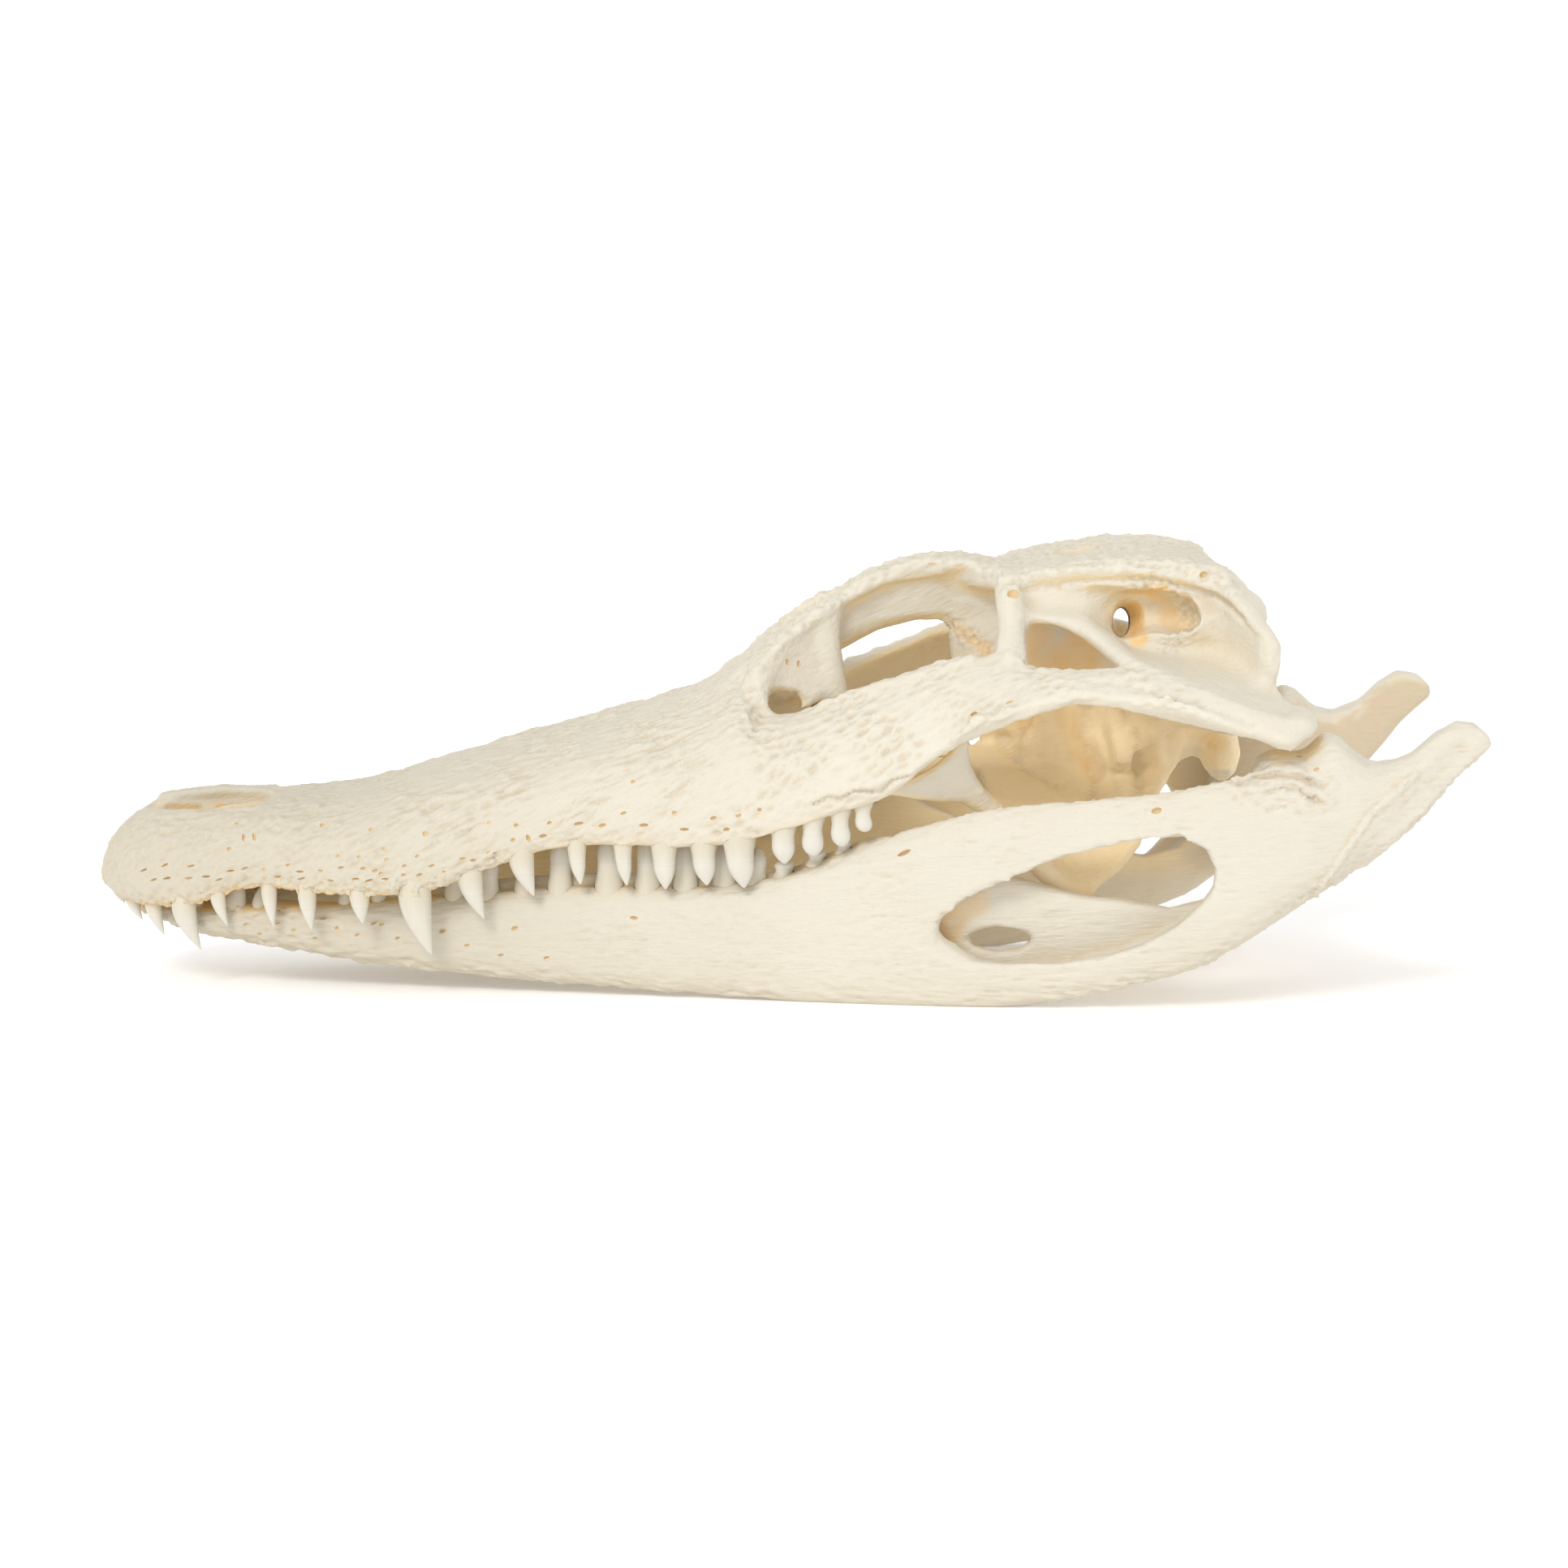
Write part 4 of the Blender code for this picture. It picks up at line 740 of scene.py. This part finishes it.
def tint(bone, line, row, crowded, deep_from, amber):
    """Stores 0 to 1 per spot of a bone: hollow (own warm tone with painted bounce light), dip (painted
    shade, and the bone's tan on lit inner faces), stain, and glow (amber, partly painted warm light).
    """
    select(bone)
    smoother = bone.copy()
    smoother.data = bone.data.copy()
    bpy.context.scene.collection.objects.link(smoother)
    modify(smoother, "SMOOTH", factor=0.5, iterations=14)
    points, normals = points_of(bone), normals_of(bone)
    dip = ((points_of(smoother) - points) * normals).sum(axis=1)
    bpy.data.objects.remove(smoother)
    x, y, z = points.T
    near_row = np.hypot(np.abs(y) - along(row, x), z - along(line, x))
    # hollow is the bone's warmer, yellower inner tone with painted warm bounce light over it: it
    # follows crowding, inward faces and deep places, and leaves out faces that turn up to the light.
    outward, not_up = normals[:, 1] * np.sign(y), 1 - ramp(normals[:, 2], 0.3, 0.8)
    inner = ramp(-0.1 - outward, 0, 0.5) * not_up
    crowd = ramp(crowding(points, normals), *crowded)
    if bone is upper:
        under = ramp(-normals[:, 2], 0.3, 0.7) * ramp(along(row, x) - np.abs(y), -2, 1)
        inner = np.maximum(inner * (1 - 0.7 * ramp(z - along(DEEP_TOP, x), 0, 8)), under)
        # Wide, high parts of the skull, which face the light, take less of the painted warm light.
        crowd *= 1 - 0.8 * ramp(np.abs(y), 22, 27) * ramp(z, 61, 66)
    else:
        inner *= 0.3 + 0.7 * ramp(z, 13, 20)
    stain = (1 - ramp(near_row, 1.5, AMBER_REACH)) * (1 - ramp(x, 156, 164))
    stain *= 1 - 0.8 * ramp(outward, 0, 0.5)
    low = 1 - ramp(z, along(DEEP_TOP, x) - 4, along(DEEP_TOP, x) + 4)
    deep = ramp(along(deep_from, x) - np.abs(y), 0, 8) * low
    hollow = np.maximum(crowd, 0.85 * np.maximum(inner, deep))
    # glow is amber: near the front teeth it is painted warm light in the shaded gap between the jaws,
    # and at the listed spots it is the amber of the bone there.
    glow = 0.9 * (1 - ramp(near_row, 1.5, 4.5)) * (1 - ramp(x, 55, 80)) * (1 - ramp(outward, 0.4, 0.8))
    for reach, strength, spots in amber:
        glow = np.maximum(glow, strength * ramp(nearness(points, spots, reach), 0, 0.7))
    # Inner faces at the back, which the light reaches, lose the painted warm light and take the darker
    # dip colour, the bone's own tan there.
    bare = inner * ramp(x, 222, 236)
    # dip darkens pits in the surface and faces that turn down: painted shade.
    dip = np.maximum(0.6 * ramp(dip, 0.0, 0.16), 0.3 * ramp(-normals[:, 2], 0.1, 0.8))
    shares = {"hollow": hollow * (1 - bare), "dip": np.maximum(dip, bare),
              "stain": stain, "glow": glow}
    for name, share in shares.items():
        held = bone.data.attributes.new(name, "FLOAT", "POINT")
        held.data.foreach_set("value", share.astype(np.float32))


def bone_tone(name, darker, lighter, grain_scale, grain_rise):
    """Ivory bone with a fine grain drawn out along the bone's length."""
    material, shader, node, links = tone(name, 0.62)
    place = node("TexCoord").outputs["Object"]
    hollow = node("Attribute", {"attribute_name": "hollow"}).outputs["Fac"]
    dip = node("Attribute", {"attribute_name": "dip"}).outputs["Fac"]
    stain = node("Attribute", {"attribute_name": "stain"}).outputs["Fac"]
    broad = node("TexNoise", Vector=place, Scale=45.0, Detail=3.0).outputs["Fac"]
    turned = node("Mapping", Vector=place, Rotation=(0, grain_rise, 0)).outputs[0]
    fine = node("TexNoise", Vector=node("Mapping", Vector=turned, Scale=grain_scale).outputs[0],
                Scale=1.0, Detail=4.0, Roughness=0.6).outputs["Fac"]
    pale = blend_colour(node, broad, darker, lighter)
    behind = node("MapRange", i0=node("SeparateXYZ", i0=place).outputs[0], i1=-0.12, i2=0.01,
                  i3=0.8, i4=0.0).outputs[0]
    ivory = blend_colour(node, behind, pale, (0.56, 0.51, 0.40, 1))
    # Hollows take a warmer, lighter colour: the bone's yellower inner tone with painted bounce light.
    warm = blend_colour(node, hollow, ivory, (0.94, 0.76, 0.46, 1))
    # The dip colour is painted shade in pits and on faces that turn down, and the bone's own tan on lit
    # inner faces at the back.
    with_painted_shade = blend_colour(node, node("Math", {"operation": "MULTIPLY"}, i0=dip, i1=0.85).outputs[0],
                          warm, (0.60, 0.48, 0.32, 1))
    patchy = node("Math", {"operation": "MULTIPLY"}, i0=stain, i1=broad).outputs[0]
    stained = blend_colour(node, patchy, with_painted_shade, (0.80, 0.58, 0.26, 1))
    # The glow share mixes in amber: painted warm light near the front teeth, the bone's amber at the
    # listed spots.
    mottle = node("MapRange", i0=node("TexNoise", Vector=place, Scale=260.0, Detail=3.0).outputs["Fac"],
                  i1=0.3, i2=0.6, i3=0.5, i4=1.0).outputs[0]
    amber = node("Math", {"operation": "MULTIPLY"}, i0=mottle,
                 i1=node("Attribute", {"attribute_name": "glow"}).outputs["Fac"]).outputs[0]
    links.new(blend_colour(node, amber, stained, (0.85, 0.56, 0.23, 1)), shader.inputs["Base Color"])
    bump = node("Bump", Strength=0.8, Distance=0.00035, Height=fine)
    links.new(bump.outputs[0], shader.inputs["Normal"])
    return material


skull_bone = bone_tone("skull_bone", (0.68, 0.625, 0.505, 1), (0.74, 0.69, 0.58, 1), (350, 1200, 1200),
                       STREAM)
jaw_bone = bone_tone("jaw_bone", (0.66, 0.61, 0.50, 1), (0.72, 0.675, 0.57, 1), (160, 1500, 1500),
                     math.radians(4))
skull_amber = [(reach, strength, spots_on(upper, line)) for reach, strength, line in SKULL_AMBER]
jaw_amber = [(reach, strength, spots_on(jaws[0], line)) for reach, strength, line in JAW_AMBER]
for bone, line, row, finish, crowded, deep_from, amber in (
        (upper, TOOTH_LINE, UPPER_ROW, skull_bone, (1.9, 3.4), DEEP_SKULL, skull_amber),
        (jaws[0], JAW_TOP, LOWER_ROW, jaw_bone, (2.4, 4), DEEP_JAW, jaw_amber),
        (jaws[1], JAW_TOP, LOWER_ROW, jaw_bone, (2.4, 4), DEEP_JAW, jaw_amber)):
    tint(bone, line, row, crowded, deep_from, amber)
    slots = bone.data.materials
    if len(slots) < 2:
        slots.clear()
        slots.append(finish)
        slots.append(marrow)
    else:
        slots[0] = finish

# The bones of the upper skull are grown together. They are kept as six closed blocks that meet
# at the midline, in front of the eyes and behind them.

BEFORE_SNOUT, BEHIND_EYES, PAST_SKULL = -20, 185, 260
BLOCKS = (                           # name, where each starts and ends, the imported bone
    ("upper_jaw", BEFORE_SNOUT, SEAM_X, "snout"), ("eye_region", SEAM_X, BEHIND_EYES, "cranium"),
    ("braincase", BEHIND_EYES, PAST_SKULL, "cranium"))
BLOCK_WIDE = 80
BLOCK_HIGH = 200
ON_CUT = 0.01                        # a vertex this near to a block's end is new
TINTS = ("hollow", "dip", "stain", "glow")


def carry_over(block, low, high):
    """Gives the vertices along a block's cuts the values stored beside them."""
    ends = np.empty(len(block.data.edges) * 2, np.int32)
    block.data.edges.foreach_get("vertices", ends)
    x, y, _ = points_of(block).T
    made = np.min((np.abs(y), np.abs(x - low), np.abs(x - high)), axis=0) < ON_CUT
    ends = np.concatenate((ends.reshape(-1, 2), ends.reshape(-1, 2)[:, ::-1]))
    ends = ends[made[ends[:, 0]] & ~made[ends[:, 1]]]
    for name in TINTS:
        held = block.data.attributes[name].data
        values = np.empty(len(block.data.vertices), np.float32)
        held.foreach_get("value", values)
        values[ends[:, 0]] = values[ends[:, 1]]
        held.foreach_set("value", values)


finished = []
for name, low, high, node_name in BLOCKS:
    for side_name, side in (("left", -1), ("right", 1)):
        block = upper.copy()
        block.data = upper.data.copy()
        block.name = name + "_" + side_name
        bpy.context.scene.collection.objects.link(block)
        middle = (SNOUT_TIP + (low + high) / 2 * MM, side * BLOCK_WIDE / 2 * MM, BLOCK_HIGH / 4 * MM)
        bpy.ops.mesh.primitive_cube_add(size=1, location=middle)
        box = bpy.context.object
        box.scale = ((high - low) * MM, BLOCK_WIDE * MM, BLOCK_HIGH * MM)
        bpy.ops.object.transform_apply()
        modify(block, "BOOLEAN", operation="INTERSECT", solver="MANIFOLD", object=box)
        bpy.data.objects.remove(box)
        carry_over(block, low, high)
        finished.append((block, node_name))
bpy.data.objects.remove(upper)
finished += [(jaws[0], "mandible_left"), (jaws[1], "mandible_right")]
for bone, node_name in finished:
    select(bone)
    bpy.ops.object.shade_smooth_by_angle(angle=math.radians(65))
    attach(bone, "root")
    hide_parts(node_name)

# The studio: white paper that curves up all round, an even white surround and one soft light
# from the upper left.

SWEEP = (                            # radius and height of the paper's rings, in metres
    (4.2, 1.5), (4.18, 1.0), (4.05, 0.5), (3.75, 0.16), (3.4, 0.02), (3.2, 0))

bpy.ops.mesh.primitive_circle_add(vertices=96, radius=SWEEP[0][0], location=(0, 0, SWEEP[0][1]))
paper_sweep = bpy.context.object
paper_sweep.name = "floor"
bpy.ops.object.transform_apply()
bpy.ops.object.mode_set(mode="EDIT")
for (radius, height), (next_radius, next_height) in zip(SWEEP, SWEEP[1:]):
    fall = {"value": (0, 0, next_height - height)}
    bpy.ops.mesh.extrude_edges_move(TRANSFORM_OT_translate=fall)
    shrink = next_radius / radius
    bpy.ops.transform.resize(value=(shrink, shrink, 1))
bpy.ops.mesh.edge_face_add()
bpy.ops.mesh.select_all(action="SELECT")
bpy.ops.mesh.normals_make_consistent(inside=True)
bpy.ops.object.mode_set(mode="OBJECT")
bpy.ops.object.shade_smooth_by_angle(angle=math.radians(40))
paper, shader, node, links = tone("paper", 0.9)
shader.inputs["Base Color"].default_value = (0.95, 0.95, 0.95, 1)
shader.inputs["Specular IOR Level"].default_value = 0.1
shader.inputs["Emission Color"].default_value = (1, 1, 1, 1)
shader.inputs["Emission Strength"].default_value = 0.2
paper_sweep.data.materials.append(paper)

world = bpy.data.worlds.new("surround")
bpy.context.scene.world = world
world.use_nodes = True
world.node_tree.nodes["Background"].inputs["Color"].default_value = (1, 1, 1, 1)
world.node_tree.nodes["Background"].inputs["Strength"].default_value = 0.8

bpy.ops.object.light_add(type="SUN", location=(-1, -1, 2))
key = bpy.context.object
key.data.angle = math.radians(18)
key.data.energy = 1.2
key.rotation_euler = Vector((0.4, 1.0, -0.85)).to_track_quat("-Z", "Y").to_euler()
bpy.context.scene.view_settings.view_transform = "Standard"
